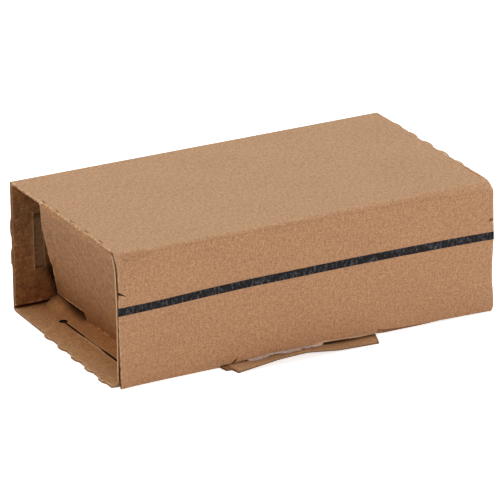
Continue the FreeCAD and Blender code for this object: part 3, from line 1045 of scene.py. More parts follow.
@dataclass
class Sleeve:
    """The strip of board that wraps round the carton, with its cuts and wavy edges.

    Attributes:
        fold: The soft fold at the front's top.
        fold_radius: Radius of the other folds.
        floor_waves: Waves of the floor's end edges, by the distance from the front.
        lid_waves: Waves of the top's right edge.
        back_waves: Waves of the back wall's upright edges, by the height.
        front_flare: How far the floor's end edges stand out at the front.
        back_flare: How far they stand out at the back.
        hinge_back: Where the end walls' hinges end towards the back.
        slit_inset: Distance of the middle of the floor's cuts from the ends.
        slit_half: Half their width.
        keyhole_radius: Radius of their round ends.
        keyhole_reach: How far from the middle of a round end the grid is moved for it.
        keyhole_y: Distance of the round ends from the flap's face.
        cut_depth: How deep these cuts are.
        mark_inset: Distance of the nicks in the top from its left edge.
        mark_width: Their width.
        mark_start: Where the first of them starts.
        mark_length: Their length.
        mark_count: How many there are.
        nick_height: Height of the cut that starts the tear strip at the left.
        nick_length: Length of that cut.
        nick_drop: How far it runs down.
        nick_width: How wide it stands open.
        split_height: Up to where the flap's rows lie level.
        corner_bow: How far the flap's lower left corner stands out.
        high_bow: How far its left edge stands out higher up.
        tab_bow: How far the small tab under the nick stands out besides.
        tongue_bow: How far it stands out over the tongue.
        unevenness: Height of its slow waves.
        hinge_inset: How far the top's end edges stand back at the hinges.
        corner_lift: How far the floor rises behind the round ends.
        toe_push: How far the front lower fold is pushed out to the right of the middle.
        frayed_heights: Heights at which the course of the flap's right edge is known.
        frayed_out: How far it stands out there.
        rubbed_and_shaded: How much rubbing and painted shade each place gets.
    """

    fold: FrontFold = field(default_factory=FrontFold)
    fold_radius: float = 2.0
    floor_waves: Waves = field(default_factory=lambda: Waves(11.0, 5, 2.1, 6.0, 5.0))
    lid_waves: Waves = field(default_factory=lambda: Waves(39.5, 5, 1.0, 6.5, 6.5))
    back_waves: Waves = field(default_factory=lambda: Waves(33.0, 2, 1.0, 2.5, 6.0))
    front_flare: float = 4.9
    back_flare: float = 0.5
    hinge_back: float = 122.8
    slit_inset: float = 19.3
    slit_half: float = 0.45
    keyhole_radius: float = 3.1
    keyhole_reach: float = 6.4
    keyhole_y: float = 130.0
    cut_depth: float = 1.0
    mark_inset: float = 2.0
    mark_width: float = 1.1
    mark_start: float = 27.0
    mark_length: float = 6.0
    mark_count: int = 5
    nick_height: float = 71.5
    nick_length: float = 7.0
    nick_drop: float = 5.0
    nick_width: float = 2.2
    split_height: float = 72.2
    corner_bow: float = 1.7
    high_bow: float = 0.7
    tab_bow: float = 0.8
    tongue_bow: float = 0.8
    unevenness: float = 0.12
    hinge_inset: float = 1.5
    corner_lift: float = 6.2
    toe_push: float = 2.1
    frayed_heights: Row = (0.0, 1.2, 4.0, 12.0, 28.0, 44.0, 57.0, 75.0)
    frayed_out: Row = (-2.2, -0.8, 0.1, -0.2, -1.4, -0.5, 0.3, 0.0)
    rubbed_and_shaded: WrapWearAndShade = WrapWearAndShade()

    def ring_lines(self) -> Array:
        """Grid lines each side of a round end: doubled at its rim, so that its wall is steep."""
        rim, narrow = self.keyhole_radius, self.slit_half
        half = np.array([narrow, narrow + STEEP, 1.9, rim, rim + 0.1, 4.6, self.keyhole_reach])
        return np.concatenate([-half, half])

    def mark_lines(self) -> Array:
        """Grid lines along Y at the ends of the top's nicks, doubled for steep walls."""
        first = self.mark_start + np.arange(self.mark_count) * Waves.pitch
        last = first + self.mark_length
        return np.concatenate([first, first + STEEP, last - STEEP, last])

    def columns(self) -> Array:
        """Places the grid's lines along X, closer at the ends and at each cut."""
        mark = self.mark_inset + np.array([0.0, STEEP, self.mark_width - STEEP, self.mark_width])
        near = np.concatenate([[0.0, 0.6, 1.2, 4.4, 6.0, self.nick_length, 9.5], mark])
        left = np.concatenate([near, self.slit_inset + self.ring_lines()]) - HALF_LENGTH
        lift = np.array([-124.0, -120.5, -117.0, -113.5, -110.0])
        tongue = [TONGUE_LEFT, TONGUE_RIGHT, TONGUE_RIGHT + 0.3, TONGUE_RIGHT + 1.5]
        tongue = np.concatenate([tongue, TONGUE_LEFT + np.arange(3.0, 21.0, 1.0)])
        lines = np.concatenate([left, -left, lift, -lift, tongue])
        return merged_lines(4.0, -HALF_LENGTH, HALF_LENGTH, lines)

    def lower_edge(self, x: Array) -> Array:
        """Gives the height of the flap's lower edge, lifted over the tongue and notched at the right."""
        stations = (
            -148.5, TONGUE_LEFT, TONGUE_LEFT + 8, TONGUE_LEFT + 12, TONGUE_LEFT + 39, TONGUE_LEFT + 68,
            TONGUE_LEFT + 82, TONGUE_RIGHT - 1, TONGUE_RIGHT + 0.3, TONGUE_RIGHT + 1.5, TONGUE_RIGHT + 3.4,
            TONGUE_RIGHT + 20, TONGUE_RIGHT + 58, 125.0, 148.5,
        )
        heights = (0.0, 0.1, 0.5, 1.8, 3.4, 2.9, 3.0, 0.8, 4.4, 4.2, 3.3, 1.9, 0.9, 0.7, 0.0)
        return np.interp(x, stations, heights)

    def bow(self, x: Array, z: Array) -> Array:
        """How far the flap stands out of its plane: at its left edge, under the nick and over the tongue.

        Args:
            x: Places along the carton.
            z: Heights.

        Returns:
            The distance to the front, in millimetres.
        """
        from_left = x + HALF_LENGTH
        corner = self.corner_bow * np.exp(-from_left / 15.0) * falloff(z, 2.0, 50.0)
        high = self.high_bow * np.exp(-from_left / 9.0) * smoothstep(z, 62.0, 72.0)
        under = self.nick_height - self.nick_drop * np.clip(from_left / self.nick_length, 0, 1)
        tab = self.tab_bow * np.exp(-from_left / 5.0) * smoothstep(z, 60.0, 70.0) * (z < under - 0.3)
        over_left = smoothstep(x, TONGUE_LEFT - 8, TONGUE_LEFT + 20)
        over_right = smoothstep(x, 38.0, TONGUE_RIGHT + 8)
        over = self.tongue_bow * over_left * (1.0 - over_right) * falloff(z, 1.0, 16.0)
        return corner + high + tab + over + self.unevenness * ripple(x, z, 0.4)

    def flap_rows(self) -> Array:
        """Heights of the flap's level rows, closer at its lower edge and at the nick."""
        nick = [self.nick_height - 3.4, self.nick_height - self.nick_width, self.nick_height]
        return merged_lines(3.0, 0.0, self.split_height, [0.8, 1.6, 2.4, 3.2, 4.2, 5.4, 6.6, 8.0] + nick)

    def corner(self, y: float, z: float, turn: float) -> tuple[Array, Array]:
        """A quarter circle of the fold's radius, without its first point.

        Args:
            y: Y of its centre.
            z: Z of its centre.
            turn: Angle of its first point, from which it turns clockwise.

        Returns:
            Y and Z of five points.
        """
        angle = turn - np.linspace(0, math.pi / 2, 6)[1:]
        return y + self.fold_radius * np.cos(angle), z + self.fold_radius * np.sin(angle)

    def path(self, x: Array) -> dict[str, Array]:
        """The section's outer face at every column, and which panel each row belongs to.

        It runs up the flap, over the soft fold, back along the top, down the back, forward under the floor
        and up the wall behind the flap.

        Args:
            x: Places of the columns.

        Returns:
            Grids y and z, and the row of panel names part.
        """
        ones = np.ones_like(x)[None]
        r = self.fold_radius
        low = self.flap_rows()[:, None] * ones
        share = np.linspace(0, 1, 7)[1:, None]
        upper = self.split_height + share * (self.fold.height(x)[None] - self.split_height)
        bend_y, bend_z = self.fold.bend(x, np.linspace(0, 1, 13)[1:])
        deep = self.fold.depth(x)[None]
        near_top = deep + np.linspace(0, 1, 6)[1:, None] * (24.0 - deep)
        hinge = np.array([self.hinge_back, self.hinge_back + 0.6])
        top = merged_lines(2.3, 24.0, WIDTH - r, np.concatenate([hinge, self.mark_lines()]))[1:]
        back = merged_lines(2.4, r, HEIGHT - r, [])[::-1][1:]
        ends = [PLY_IN + 0.6, PLY_IN + 0.7, 166.0, 167.4, 168.6]
        hole = np.concatenate([self.keyhole_y + self.ring_lines(), ends])
        floor = merged_lines(2.3, PLY_OUT + r, WIDTH - r, hole)[::-1][1:]
        c1, c2 = self.corner(WIDTH - r, HEIGHT - r, math.pi / 2), self.corner(WIDTH - r, r, 0.0)
        c3 = self.corner(PLY_OUT + r, r, -math.pi / 2)
        wall = merged_lines(4.0, r, self.split_height, [BOARD + TONGUE_REACH])[1:]
        flat_y = [c1[0], np.full(len(back), WIDTH), c2[0], floor, c3[0], np.full(len(wall), PLY_OUT)]
        flat_z = [c1[1], back, c2[1], np.zeros(len(floor)), c3[1], wall]
        top_y = np.concatenate([top] + flat_y)[:, None] * ones
        top_z = np.concatenate([np.full(len(top), HEIGHT)] + flat_z)[:, None] * ones
        inner_y, inner_z = self.behind(upper, bend_y[:9], bend_z[:9])
        y = np.concatenate([0 * low, 0 * upper, bend_y, near_top, top_y, inner_y])
        z = np.concatenate([low, upper, bend_z, 0 * near_top + HEIGHT, top_z, inner_z])
        parts = [("flap", len(low) + len(upper)), ("bend", len(bend_y)), ("top", len(near_top) + len(top))]
        parts += [("fold", 5), ("back", len(back)), ("fold", 5), ("floor", len(floor)), ("toe", 5)]
        parts += [("wall", len(wall) + len(inner_y))]
        names = np.concatenate([np.full(count, name) for name, count in parts])
        return {"y": y, "z": z, "part": names}

    def behind(self, upper: Array, bend_y: Array, bend_z: Array) -> tuple[Array, Array]:
        """The upper rows of the wall behind the flap: the flap's line, moved in by its ply and the gap.

        Args:
            upper: Heights of the flap's upper rows.
            bend_y: Y of the bend's rows.
            bend_z: Z of the bend's rows.

        Returns:
            Y and Z of the wall's outer face.
        """
        y = np.concatenate([0 * upper, bend_y])
        z = np.concatenate([upper, bend_z])
        in_y, in_z = right_of(y, z)
        return y + PLY_OUT * in_y, z + PLY_OUT * in_z

    def stretch(self, x: Array, part: Array, y: Array, z: Array) -> Array:
        """Moves the columns near both ends, so that the edges flare, wave and stand back at the hinges.

        Each move fades evenly from the edge inwards, over the reach that it has.

        Args:
            x: Places of the columns.
            part: Panel of each row.
            y: Y of each row at the end.
            z: Z of each row at the end.

        Returns:
            The grid of X.
        """
        floor_reach, wave_reach, hinge_reach = 12.0, 6.0, 2.0
        flare = self.front_flare - (self.front_flare - self.back_flare) * y / WIDTH
        flare = flare * smoothstep(y, 0.5, 4.5) * falloff(y, 166.0, 171.0)
        flare = np.where(part == "floor", flare + self.floor_waves.out(y), 0.0)
        lid = np.where(part == "top", self.lid_waves.out(y), 0.0)
        rear = np.where(part == "back", self.back_waves.out(z), 0.0)
        hinge = smoothstep(y, 24.0, 27.0) - smoothstep(y, self.hinge_back, self.hinge_back + 0.6)
        hinge = self.hinge_inset * np.where(part == "top", hinge, 0.0)
        from_left, from_right = (x + HALF_LENGTH)[None], (HALF_LENGTH - x)[None]

        def fade(distance: Array, reach: float) -> Array:
            """Falls evenly from 1 at the edge to 0 at the reach."""
            return np.clip(1.0 - distance / reach, 0.0, 1.0)

        moved_left = flare[:, None] * fade(from_left, floor_reach)
        moved_left += rear[:, None] * fade(from_left, wave_reach)
        moved_left -= hinge[:, None] * fade(from_left, hinge_reach)
        edge = np.interp(z, self.frayed_heights, self.frayed_out)
        edge = np.where(part == "flap", edge, 0.0) + rear + lid
        behind = flare * smoothstep(y, 6.0, 16.0)
        moved_right = behind[:, None] * fade(from_right, floor_reach)
        moved_right += edge[:, None] * fade(from_right, wave_reach)
        moved_right -= (hinge * (lid < 0.05))[:, None] * fade(from_right, hinge_reach)
        return x[None] - moved_left + moved_right

    def floor_lift(self, x: Array, y: Array) -> Array:
        """How far the floor rises behind each keyhole, up to the free corner of the end wall.

        Args:
            x: Grid of X.
            y: Grid of Y.

        Returns:
            The rise, in millimetres.
        """
        away = np.abs(x)
        across = smoothstep(-away, -127.5, -115.0) * falloff(-away, -115.0, -104.0)
        return self.corner_lift * across * smoothstep(y, 136.0, 167.0) * falloff(y, 167.0, 168.8)

    def build(self, finishes: Finishes) -> bpy.types.Object:
        """Works out the wrap's two faces and makes the piece.

        The inner face lies one board's thickness to the right of the path's direction.

        Args:
            finishes: The carton's finishes.

        Returns:
            The finished piece.
        """
        x = self.columns()
        path = self.path(x)
        part = path["part"]
        in_y, in_z = right_of(path["y"], path["z"])
        grid_x, y, z = self.shaped(x, path)
        sunk = self.sunk_points(x, path)
        thick = BOARD - self.cut_depth * sunk
        outer = points_at(grid_x, y, z)
        inner = points_at(grid_x, y + thick * in_y, z + thick * in_z)
        outer, inner = self.turn_marks(outer, inner, part, sunk)
        floor = (part == "floor")[:, None] & sunk
        cells = floor[:-1, :-1] | floor[1:, :-1] | floor[:-1, 1:] | floor[1:, 1:]
        across, along = np.broadcast_to(x, y.shape), run_along(path["y"], path["z"])
        # The flap's lower edge, the floor's cuts and the keyhole walls take the near black finish: painted
        # shade
        set_back = (FLUTE_DEPTH, 0.4, 0.35, 0.35)
        end_wear_and_shade = np.array([RIM_WEAR_AND_SHADE.get(name, FOLD_RIM_WEAR) for name in part])
        wear, inner_wear_and_shade = self.wear(x, path)
        sheet = BoardSheet(outer, inner, across, along, self.kept(x, path), cells, set_back, wear,
                           inner_wear_and_shade, end_wear_and_shade, Face.PAINTED_SHADE)
        comb = fluting(outer[0], inner[0], outer[1] - outer[0], grid_x[0], FLUTE_DEPTH)
        return make_piece("sleeve", [sheet.shell(), comb], finishes.board(), "carton")

    def shaped(self, x: Array, path: dict[str, Array]) -> tuple[Array, Array, Array]:
        """Gives the section its uneven course: waving edges, bowed flap, lifted floor and sunk corner.

        Args:
            x: Places of the columns.
            path: The section, as path gives it.

        Returns:
            Grids of X, Y and Z of the outer face.
        """
        y, z, part = path["y"], path["z"], path["part"]
        grid_x = self.stretch(x, part, y[:, 0], z[:, 0])
        flap, bend, top, floor, foot, wall = [
            (part == name)[:, None] for name in ("flap", "bend", "top", "floor", "toe", "wall")
        ]
        z = z + np.where(flap, self.lower_edge(x)[None] * falloff(z, 0.0, 14.0), 0.0)
        y = y - np.where(flap | bend, self.bow(grid_x, z) * falloff(z, 76.0, 95.0), 0.0)
        lean = 0.9 * smoothstep(z, 60.0, 80.0) + 0.5 - 0.5 * smoothstep(z, 4, 40)
        y = y + np.where(wall, np.exp(-(grid_x + HALF_LENGTH) / 10.0) * lean, 0.0)
        toe = smoothstep(x, 50.0, 60.0) * falloff(x, 85.0, 130.0) * falloff(y, 4.0, 22.0)
        y = y - self.toe_push * toe * (foot | floor) * falloff(z, 0.6, 2.0)
        z = z + self.nick_shift(x, path["z"], flap)
        z = z + np.where(floor, self.floor_lift(grid_x, y), 0.0)
        z = z - np.where(bend | top, self.fold.sag(grid_x, y) * smoothstep(z, 90.0, 97.0), 0.0)
        grid_x, y = self.keyhole(grid_x, y, part)
        return grid_x, y, z

    @staticmethod
    def turn_marks(outer: Array, inner: Array, part: Array, sunk: Array) -> tuple[Array, Array]:
        """Sinks the top's nicks from the outer face, where the floor's cuts are sunk from the inner one."""
        top = (part == "top")[:, None] & sunk
        level = np.where(top, HEIGHT - 1.0, outer[..., 2])
        below = np.where(top, HEIGHT - BOARD, inner[..., 2])
        return np.dstack([outer[..., :2], level]), np.dstack([inner[..., :2], below])

    def nick_shift(self, x: Array, z: Array, flap: Array) -> Array:
        """Bends the rows at the nick down from the left edge, so that two of them close at the cut's tip.

        Args:
            x: Places of the columns.
            z: Grid of heights.
            flap: Rows of the flap.

        Returns:
            The change of height.
        """
        up_to_tip = np.clip((x + HALF_LENGTH) / self.nick_length, 0, 1)
        beyond = x + HALF_LENGTH - self.nick_length
        ramp = up_to_tip - np.clip(beyond / 9.0, 0, 1)
        near = falloff(np.abs(z - self.nick_height + 0.6), 0.7, 13.0)
        close = self.nick_width * 0.96 * (up_to_tip * (1 - np.clip(beyond / 3.0, 0, 1)))
        lower = np.abs(z - (self.nick_height - self.nick_width)) < SAME_LINE
        shift = -self.nick_drop * ramp[None] * near + np.where(lower, close[None], 0.0)
        return np.where(flap, shift, 0.0)

    def keyhole(self, x: Array, y: Array, part: Array) -> tuple[Array, Array]:
        """Rounds the grid's square cells at the end of each floor cut into rings.

        A point at the greater of its two distances c from the centre, and at distance d, moves to c over d
        of its place, in full up to the hole's radius and less and less out to keyhole_reach.

        Args:
            x: Grid of X.
            y: Grid of Y.
            part: Panel of each row.

        Returns:
            The moved grids.
        """
        floor = (part == "floor")[:, None]
        for end in End:
            centre = end.value * (HALF_LENGTH - self.slit_inset)
            dx, dy = x - centre, y - self.keyhole_y
            wide = 0.55 + 1.5 * falloff(y, 58.0, 74.0) + 1.2 * smoothstep(y, 92.0, 100.0)
            beside = np.abs(dx) < self.slit_half + 0.1
            dx = np.where(floor & beside & (dy < -self.keyhole_radius - 0.05), dx * wide, dx)
            reach = np.maximum(np.abs(dx), np.abs(dy))
            distance = np.maximum(np.hypot(dx, dy), 1e-6)
            share = falloff(reach, self.keyhole_radius + 0.1, self.keyhole_reach) * floor
            scale = 1.0 + share * (reach / distance - 1.0)
            x, y = centre + dx * scale, self.keyhole_y + dy * scale
        return x, y

    def sunk_points(self, x: Array, path: dict[str, Array]) -> Array:
        """Marks the grid points at the bottom of the floor's cuts and of the top's nicks."""
        y, part = path["y"], path["part"][:, None]
        from_slit = np.abs(np.abs(x) - (HALF_LENGTH - self.slit_inset))[None]
        slit = (from_slit < self.slit_half + SAME_LINE) & (y > PLY_IN + 0.65) & (y < self.keyhole_y)
        ring = self.keyhole_radius + SAME_LINE
        round_end = (from_slit < ring) & (np.abs(y - self.keyhole_y) < ring)
        floor = (part == "floor") & (slit | round_end)
        from_left = (x + HALF_LENGTH - self.mark_inset)[None]
        across = (from_left > CLEAR_OF_LINE) & (from_left < self.mark_width - CLEAR_OF_LINE)
        within = (y - self.mark_start) % Waves.pitch
        inside = (within > CLEAR_OF_LINE) & (within < self.mark_length - CLEAR_OF_LINE)
        last = self.mark_start + (self.mark_count - 0.5) * Waves.pitch
        inside = inside & (y > self.mark_start) & (y < last)
        return floor | ((part == "top") & across & inside)

    def kept(self, x: Array, path: dict[str, Array]) -> Array:
        """Marks the cells that are there: all but the nick at the left and the tongue's opening."""
        part = path["part"]
        middle_x = (x[:-1] + x[1:]) / 2
        z = path["z"]
        middle_z = ((z[:-1] + z[1:]) / 2)[:, :-1]
        row, next_row = part[:-1][:, None], part[1:][:, None]
        from_nick = np.abs(middle_z - self.nick_height + self.nick_width / 2)
        nick = (row == "flap") & (from_nick < self.nick_width / 2)
        drop = nick & (middle_x < -HALF_LENGTH + self.nick_length)[None]
        tongue = ((middle_x > TONGUE_LEFT) & (middle_x < TONGUE_RIGHT))[None]
        wall = (next_row == "wall") & (middle_z < BOARD + TONGUE_REACH)
        drop |= tongue & ((next_row == "toe") | wall)
        return ~drop

    def wear(self, x: Array, path: dict[str, Array]) -> tuple[Array, Array]:
        """Rubbing along the folds, the end edges and the front lips of the floor's cuts, and painted shade
        inside, in the gaps and in the cuts.

        Args:
            x: Places of the columns.
            path: The section, as path gives it.

        Returns:
            The rubbing of the outer face and of the inner one, from 0 to 1, and painted shade below 0.
        """
        y, z, part = path["y"], path["z"], path["part"][:, None]
        rubbed_and_shaded = self.rubbed_and_shaded
        folds = np.where(part == "fold", rubbed_and_shaded.fold, 0.0)
        ends = np.exp(-((HALF_LENGTH - np.abs(x)) / 1.4))[None]
        from_lip = np.abs(x)[None] - (HALF_LENGTH - self.slit_inset + self.slit_half)
        lip = np.where(from_lip < 1.0, 1.0, rubbed_and_shaded.far_lip) * ((from_lip > 0.05) & (from_lip < 1.6))
        lip = lip * ((part == "floor") & (y < self.keyhole_y - 25.0))
        tear = self.crease(x, y, z, part)
        # Painted shade on the soft fold's turn, the wall behind the flap, the nick, the pushed out toe and
        # the torn corner
        crown = rubbed_and_shaded.bend * np.sin(math.pi * np.clip((z - 91.0) / 7.0, 0, 1)) ** 0.5
        turn = np.where(part == "bend", crown, 0.0)
        from_end = HALF_LENGTH - np.abs(x)[None]
        hidden_shade = np.where(part == "wall", rubbed_and_shaded.hidden_shade * smoothstep(from_end, 0.1, 0.6), 0.0)
        from_right = (HALF_LENGTH - x)[None]
        nick = (part == "flap") & (np.abs(z - 70.2 + 0.25 * from_right) < 0.9) & (from_right < 3.2)
        turn = np.maximum(np.maximum(turn, hidden_shade), rubbed_and_shaded.nick * nick)
        low_lip = self.nick_height - self.nick_width
        tab = (part == "flap") & (z < low_lip + 0.1) & (z > low_lip - 0.9) & (x < -HALF_LENGTH + 6.0)[None]
        toe = np.where(part == "toe", rubbed_and_shaded.toe * smoothstep(x, 52.0, 56.0), 0.0)
        start = (part == "top") & (y < 10.5) & (x < -HALF_LENGTH + 1.3)[None]
        turn = np.maximum(np.maximum(turn, toe), rubbed_and_shaded.start * start)
        over = (x > TONGUE_LEFT + 70.0) & (x < TONGUE_RIGHT)
        rim = (part == "flap") & (z < 0.9) & (y < 1.0) & over[None]
        ends = rubbed_and_shaded.end * ends * (hidden_shade == 0.0) * ~nick * ~start * (part != "back")
        outside = np.clip(folds + ends + rim + tab + np.maximum(-tear, 0), 0, 1) - np.maximum(tear, turn)
        shade, low = self.painted_shade(x, y, z, part)
        inside = np.clip(folds + ends + lip, 0, 1) * (shade < 0.1)
        return outside, inside - np.maximum(shade, np.maximum(low, hidden_shade))

    def painted_shade(self, x: Array, y: Array, z: Array, part: Array) -> tuple[Array, Array]:
        """Painted shade of the inner faces: in the corners behind the end walls, and on the back wall.

        Args:
            x: Places of the columns.
            y: Grid of Y.
            z: Grid of heights.
            part: Panel of each row.

        Returns:
            The shade behind the end walls and that of the back wall, from 0 to 1.
        """
        corner = falloff(z, 26.0, 40.0) + 0.7 * smoothstep(z, 64.0, 69.0)
        deep = np.where(part == "floor", smoothstep(y, 116.0, 126.0), 0.0)
        deep = deep + np.where(part == "back", corner, 0.0)
        wide_x = np.broadcast_to(x, z.shape)
        foot = np.where(part == "floor", inside_shade(wide_x, z, 8.0), inside_shade(wide_x, z))
        rear = (part == "back") & (z < 4.5) | (part == "fold") & (z < 3.0) & (y > WIDTH / 2)
        back = np.where(rear, self.rubbed_and_shaded.foot, self.rubbed_and_shaded.back * (part == "back"))
        return self.rubbed_and_shaded.inside * deep * foot, back

    def crease(self, x: Array, y: Array, z: Array, part: Array) -> Array:
        """The tear at the tongue's left end: a slit in the flap, dark with painted shade, that runs on as a
        pale crease.

        Args:
            x: Places of the columns.
            y: Grid of Y.
            z: Grid of heights.
            part: Panel of each row.

        Returns:
            Painted shade of the slit above 0 and paleness below it.
        """
        at = np.broadcast_to(x, z.shape) - TONGUE_LEFT
        line = np.interp(at, (5.0, 12.0, 19.0), (-0.6, 2.6, 7.6))
        near = falloff(np.abs(z - line), 0.3, 1.3)
        dark = near * smoothstep(at, 4.0, 6.0) * falloff(at, 11.0, 13.0)
        pale = near * smoothstep(at, 12.0, 14.0) * falloff(at, 18.0, 20.0)
        tear = self.rubbed_and_shaded.slit * dark - self.rubbed_and_shaded.crease * pale
        return np.where((part == "flap") & (y < 1.0), tear, 0.0)


@dataclass
class EndWall:
    """One slanting end wall: it bends down from the top's edge and stands on the floor.

    Attributes:
        end: Which end it closes.
        gap_height: Height of its free lower edge at the back.
        gap_front: Where the free edge starts, from the front.
        heights: Heights of its back outline's corners, from below.
        setbacks: Y of those corners.
        bend_radius: Radius of the bend at the top.
        bend_steps: Rows of the bend.
    """

    end: End
    gap_height: float = 8.0
    gap_front: float = 123.5
    heights: Row = (8.0, 37.5, 39.6, 71.7, 96.5)
    setbacks: Row = (166.5, 151.5, 153.0, 139.8, 122.8)
    bend_radius: float = 1.8
    bend_steps: int = 6

    def section(self) -> tuple[Array, Array]:
        """Gives the wall's line seen from the front: the bend, then straight down to the foot.

        Returns:
            X and Z of the outer face, from above.
        """
        rim_lines = [self.gap_height + 0.9, self.gap_height + 1.1]
        heights = merged_lines(2.6, BOARD, HEIGHT - BOARD, list(self.heights[:-1]) + rim_lines)[::-1]
        slope = FOOT_INSET / (HEIGHT - 2 * BOARD)
        lean = math.atan(slope)
        x_line = -HALF_LENGTH + (HEIGHT - BOARD - heights) * slope
        angle = np.linspace(math.pi / 2, math.pi + lean, self.bend_steps + 1)[:-1]
        r = self.bend_radius
        bend_x = x_line[0] + r * math.cos(lean) + r * np.cos(angle)
        bend_z = HEIGHT - r + r * np.sin(angle)
        return np.concatenate([bend_x, x_line[1:]]), np.concatenate([bend_z, heights[1:]])

    def build(self, finishes: Finishes) -> bpy.types.Object:
        """Works out the wall and makes the piece.

        Each row runs from the flap's inner ply to the back outline, which is read at its height.

        Args:
            finishes: The carton's finishes.

        Returns:
            The finished piece.
        """
        fold = FrontFold()
        flat_x, flat_z = self.section()
        out_x, out_z = right_of(flat_x, flat_z)
        along = run_along(flat_x, flat_z)
        z_line = np.minimum(flat_z, HEIGHT - BOARD)
        back = np.interp(z_line, self.heights, self.setbacks)
        at_end = np.array([self.end.value * HALF_LENGTH])
        low = float(fold.height(at_end)[0])
        bend_y, bend_height = fold.bend(at_end, np.linspace(0, 1, 20))
        front = np.interp(z_line, bend_height[:, 0], bend_y[:, 0], left=0.0) * (z_line > low)
        front = PLY_IN + 0.15 + front
        first = np.linspace(0, 1, 26)
        second = np.linspace(0, 1, 11)[1:]
        gap = self.gap_front
        y = np.concatenate([
            front[:, None] + (gap - front[:, None]) * first[None],
            gap + (back[:, None] - gap) * second[None],
        ], axis=1)
        share = (y - front[:, None]) / 130.0
        bulge = 0.5 * np.sin(math.pi * np.clip(share, 0, 1))
        bulge = bulge * np.sin(math.pi * np.clip(flat_z / HEIGHT, 0, 1))[:, None]
        x = np.broadcast_to(flat_x[:, None], y.shape) + bulge
        z = np.broadcast_to(flat_z[:, None], y.shape)
        outer = points_at(x, y, z)
        inner = points_at(x - BOARD * out_x[:, None], y, z - BOARD * out_z[:, None])
        sign = np.array([-self.end.value, 1.0, 1.0])
        outer, inner = outer * sign, inner * sign
        keep = np.ones((len(flat_z) - 1, y.shape[1] - 1), bool)
        beyond = np.arange(y.shape[1] - 1) >= len(first) - 1
        keep &= ~((flat_z[1:, None] < self.gap_height - SAME_LINE) & beyond[None])
        down = np.broadcast_to(along[:, None], y.shape)
        # Rubbing at the hinge and a painted highlight along the free lower edge and the back edge; elsewhere
        # painted shade that darkens the wall down from the hinge
        free = (y > gap) & (np.abs(z - self.gap_height) < 1.0)
        rim = falloff(back[:, None] - y, 0.1, 1.2)
        edge_rub_and_highlight = np.clip(0.5 * np.exp(-along / 2.0)[:, None] + free + 0.7 * rim, 0, 1)
        wear = np.where(edge_rub_and_highlight > 0.15, edge_rub_and_highlight, -0.13 * smoothstep(along, 3.0, 16.0)[:, None])
        # The back edge's core is set back deep and takes the near black finish: painted shade in its flutes
        flute_depth = 2.4
        sheet = BoardSheet(outer, inner, down, y, keep, set_back=(0.3, 0.3, 0.3, flute_depth), wear=wear)
        stop = int(np.searchsorted(-flat_z, -self.gap_height, side="right"))
        edge = slice(self.bend_steps, stop)
        inward = outer[edge, -2] - outer[edge, -1]
        comb = fluting(outer[edge, -1], inner[edge, -1], inward, along[edge], flute_depth)
        name = self.end.name.lower() + "_end_wall"
        return make_piece(name, [sheet.shell(), comb], finishes.board("end_liner_shaded"), "carton")


@dataclass
class BackPly:
    """The second ply of the back wall, with an upright slot near each end.

    Attributes:
        inset: Distance of its ends from the carton's ends.
        bottom: Height of its lower edge.
        slot_inset: Distance of the slots from the carton's ends.
        slot_width: Width of a slot.
        slot_bottom: Height of a slot's lower end.
        slot_top: Height of its upper end.
    """

    inset: float = 0.6
    bottom: float = 3.8
    slot_inset: float = 16.3
    slot_width: float = 8.2
    slot_bottom: float = 29.4
    slot_top: float = 71.0

    def build(self, finishes: Finishes) -> bpy.types.Object:
        """Makes the ply: a flat grid whose lines run along the slots, with the slots' cells dropped."""
        half = HALF_LENGTH - self.inset
        near = HALF_LENGTH - self.slot_inset
        far = near - self.slot_width
        right = [far, near, near + 0.3, near + 1.2, 121.0, 118.5, 116.0]
        x = merged_lines(6.0, -half, half, right + [-line for line in right])
        z = merged_lines(4.0, self.bottom, HEIGHT - BOARD, [self.slot_bottom, self.slot_top])
        grid_x, grid_z = np.meshgrid(x, z)
        beside = falloff(np.abs(np.abs(grid_x) - near), 0.2, 1.4)
        lip = beside * (grid_z > self.slot_bottom - 1.0) * (grid_z < self.slot_top + 1.0)
        face = WIDTH - 2 * BOARD + 0.15 * ripple(grid_x, grid_z, 2.2) - 0.15 - 0.35 * lip
        outer = points_at(grid_x, face, grid_z)
        inner = points_at(grid_x, WIDTH - BOARD - 0.02, grid_z)
        # Painted shade: dark towards the bottom behind the end walls, darker striped bands below the top,
        # and slightly dark cut ends
        low = 0.12 + 0.80 * falloff(grid_z, 26.0, 40.0)
        bands = 0.14 * falloff(grid_z, 62.0, 88.0) * (0.6 + 0.4 * np.sin(grid_x / 1.9))
        rubbed_and_shaded = lip - np.maximum(low * inside_shade(grid_x, grid_z), bands)
        middle_x, middle_z = (x[:-1] + x[1:]) / 2, (z[:-1] + z[1:]) / 2
        in_slot = (np.abs(middle_x) > far) & (np.abs(middle_x) < near)
        keep = ~(in_slot[None] & ((middle_z > self.slot_bottom) & (middle_z < self.slot_top))[:, None])
        sheet = BoardSheet(outer, inner, grid_x, grid_z, keep, set_back=(0.3, 0.3, 0.3, 0.3), wear=rubbed_and_shaded,
                           end_wear_and_shade=np.full(len(z), -0.1))
        return make_piece("back_ply", [sheet.shell()], finishes.board("ply_liner_shaded"), "carton")


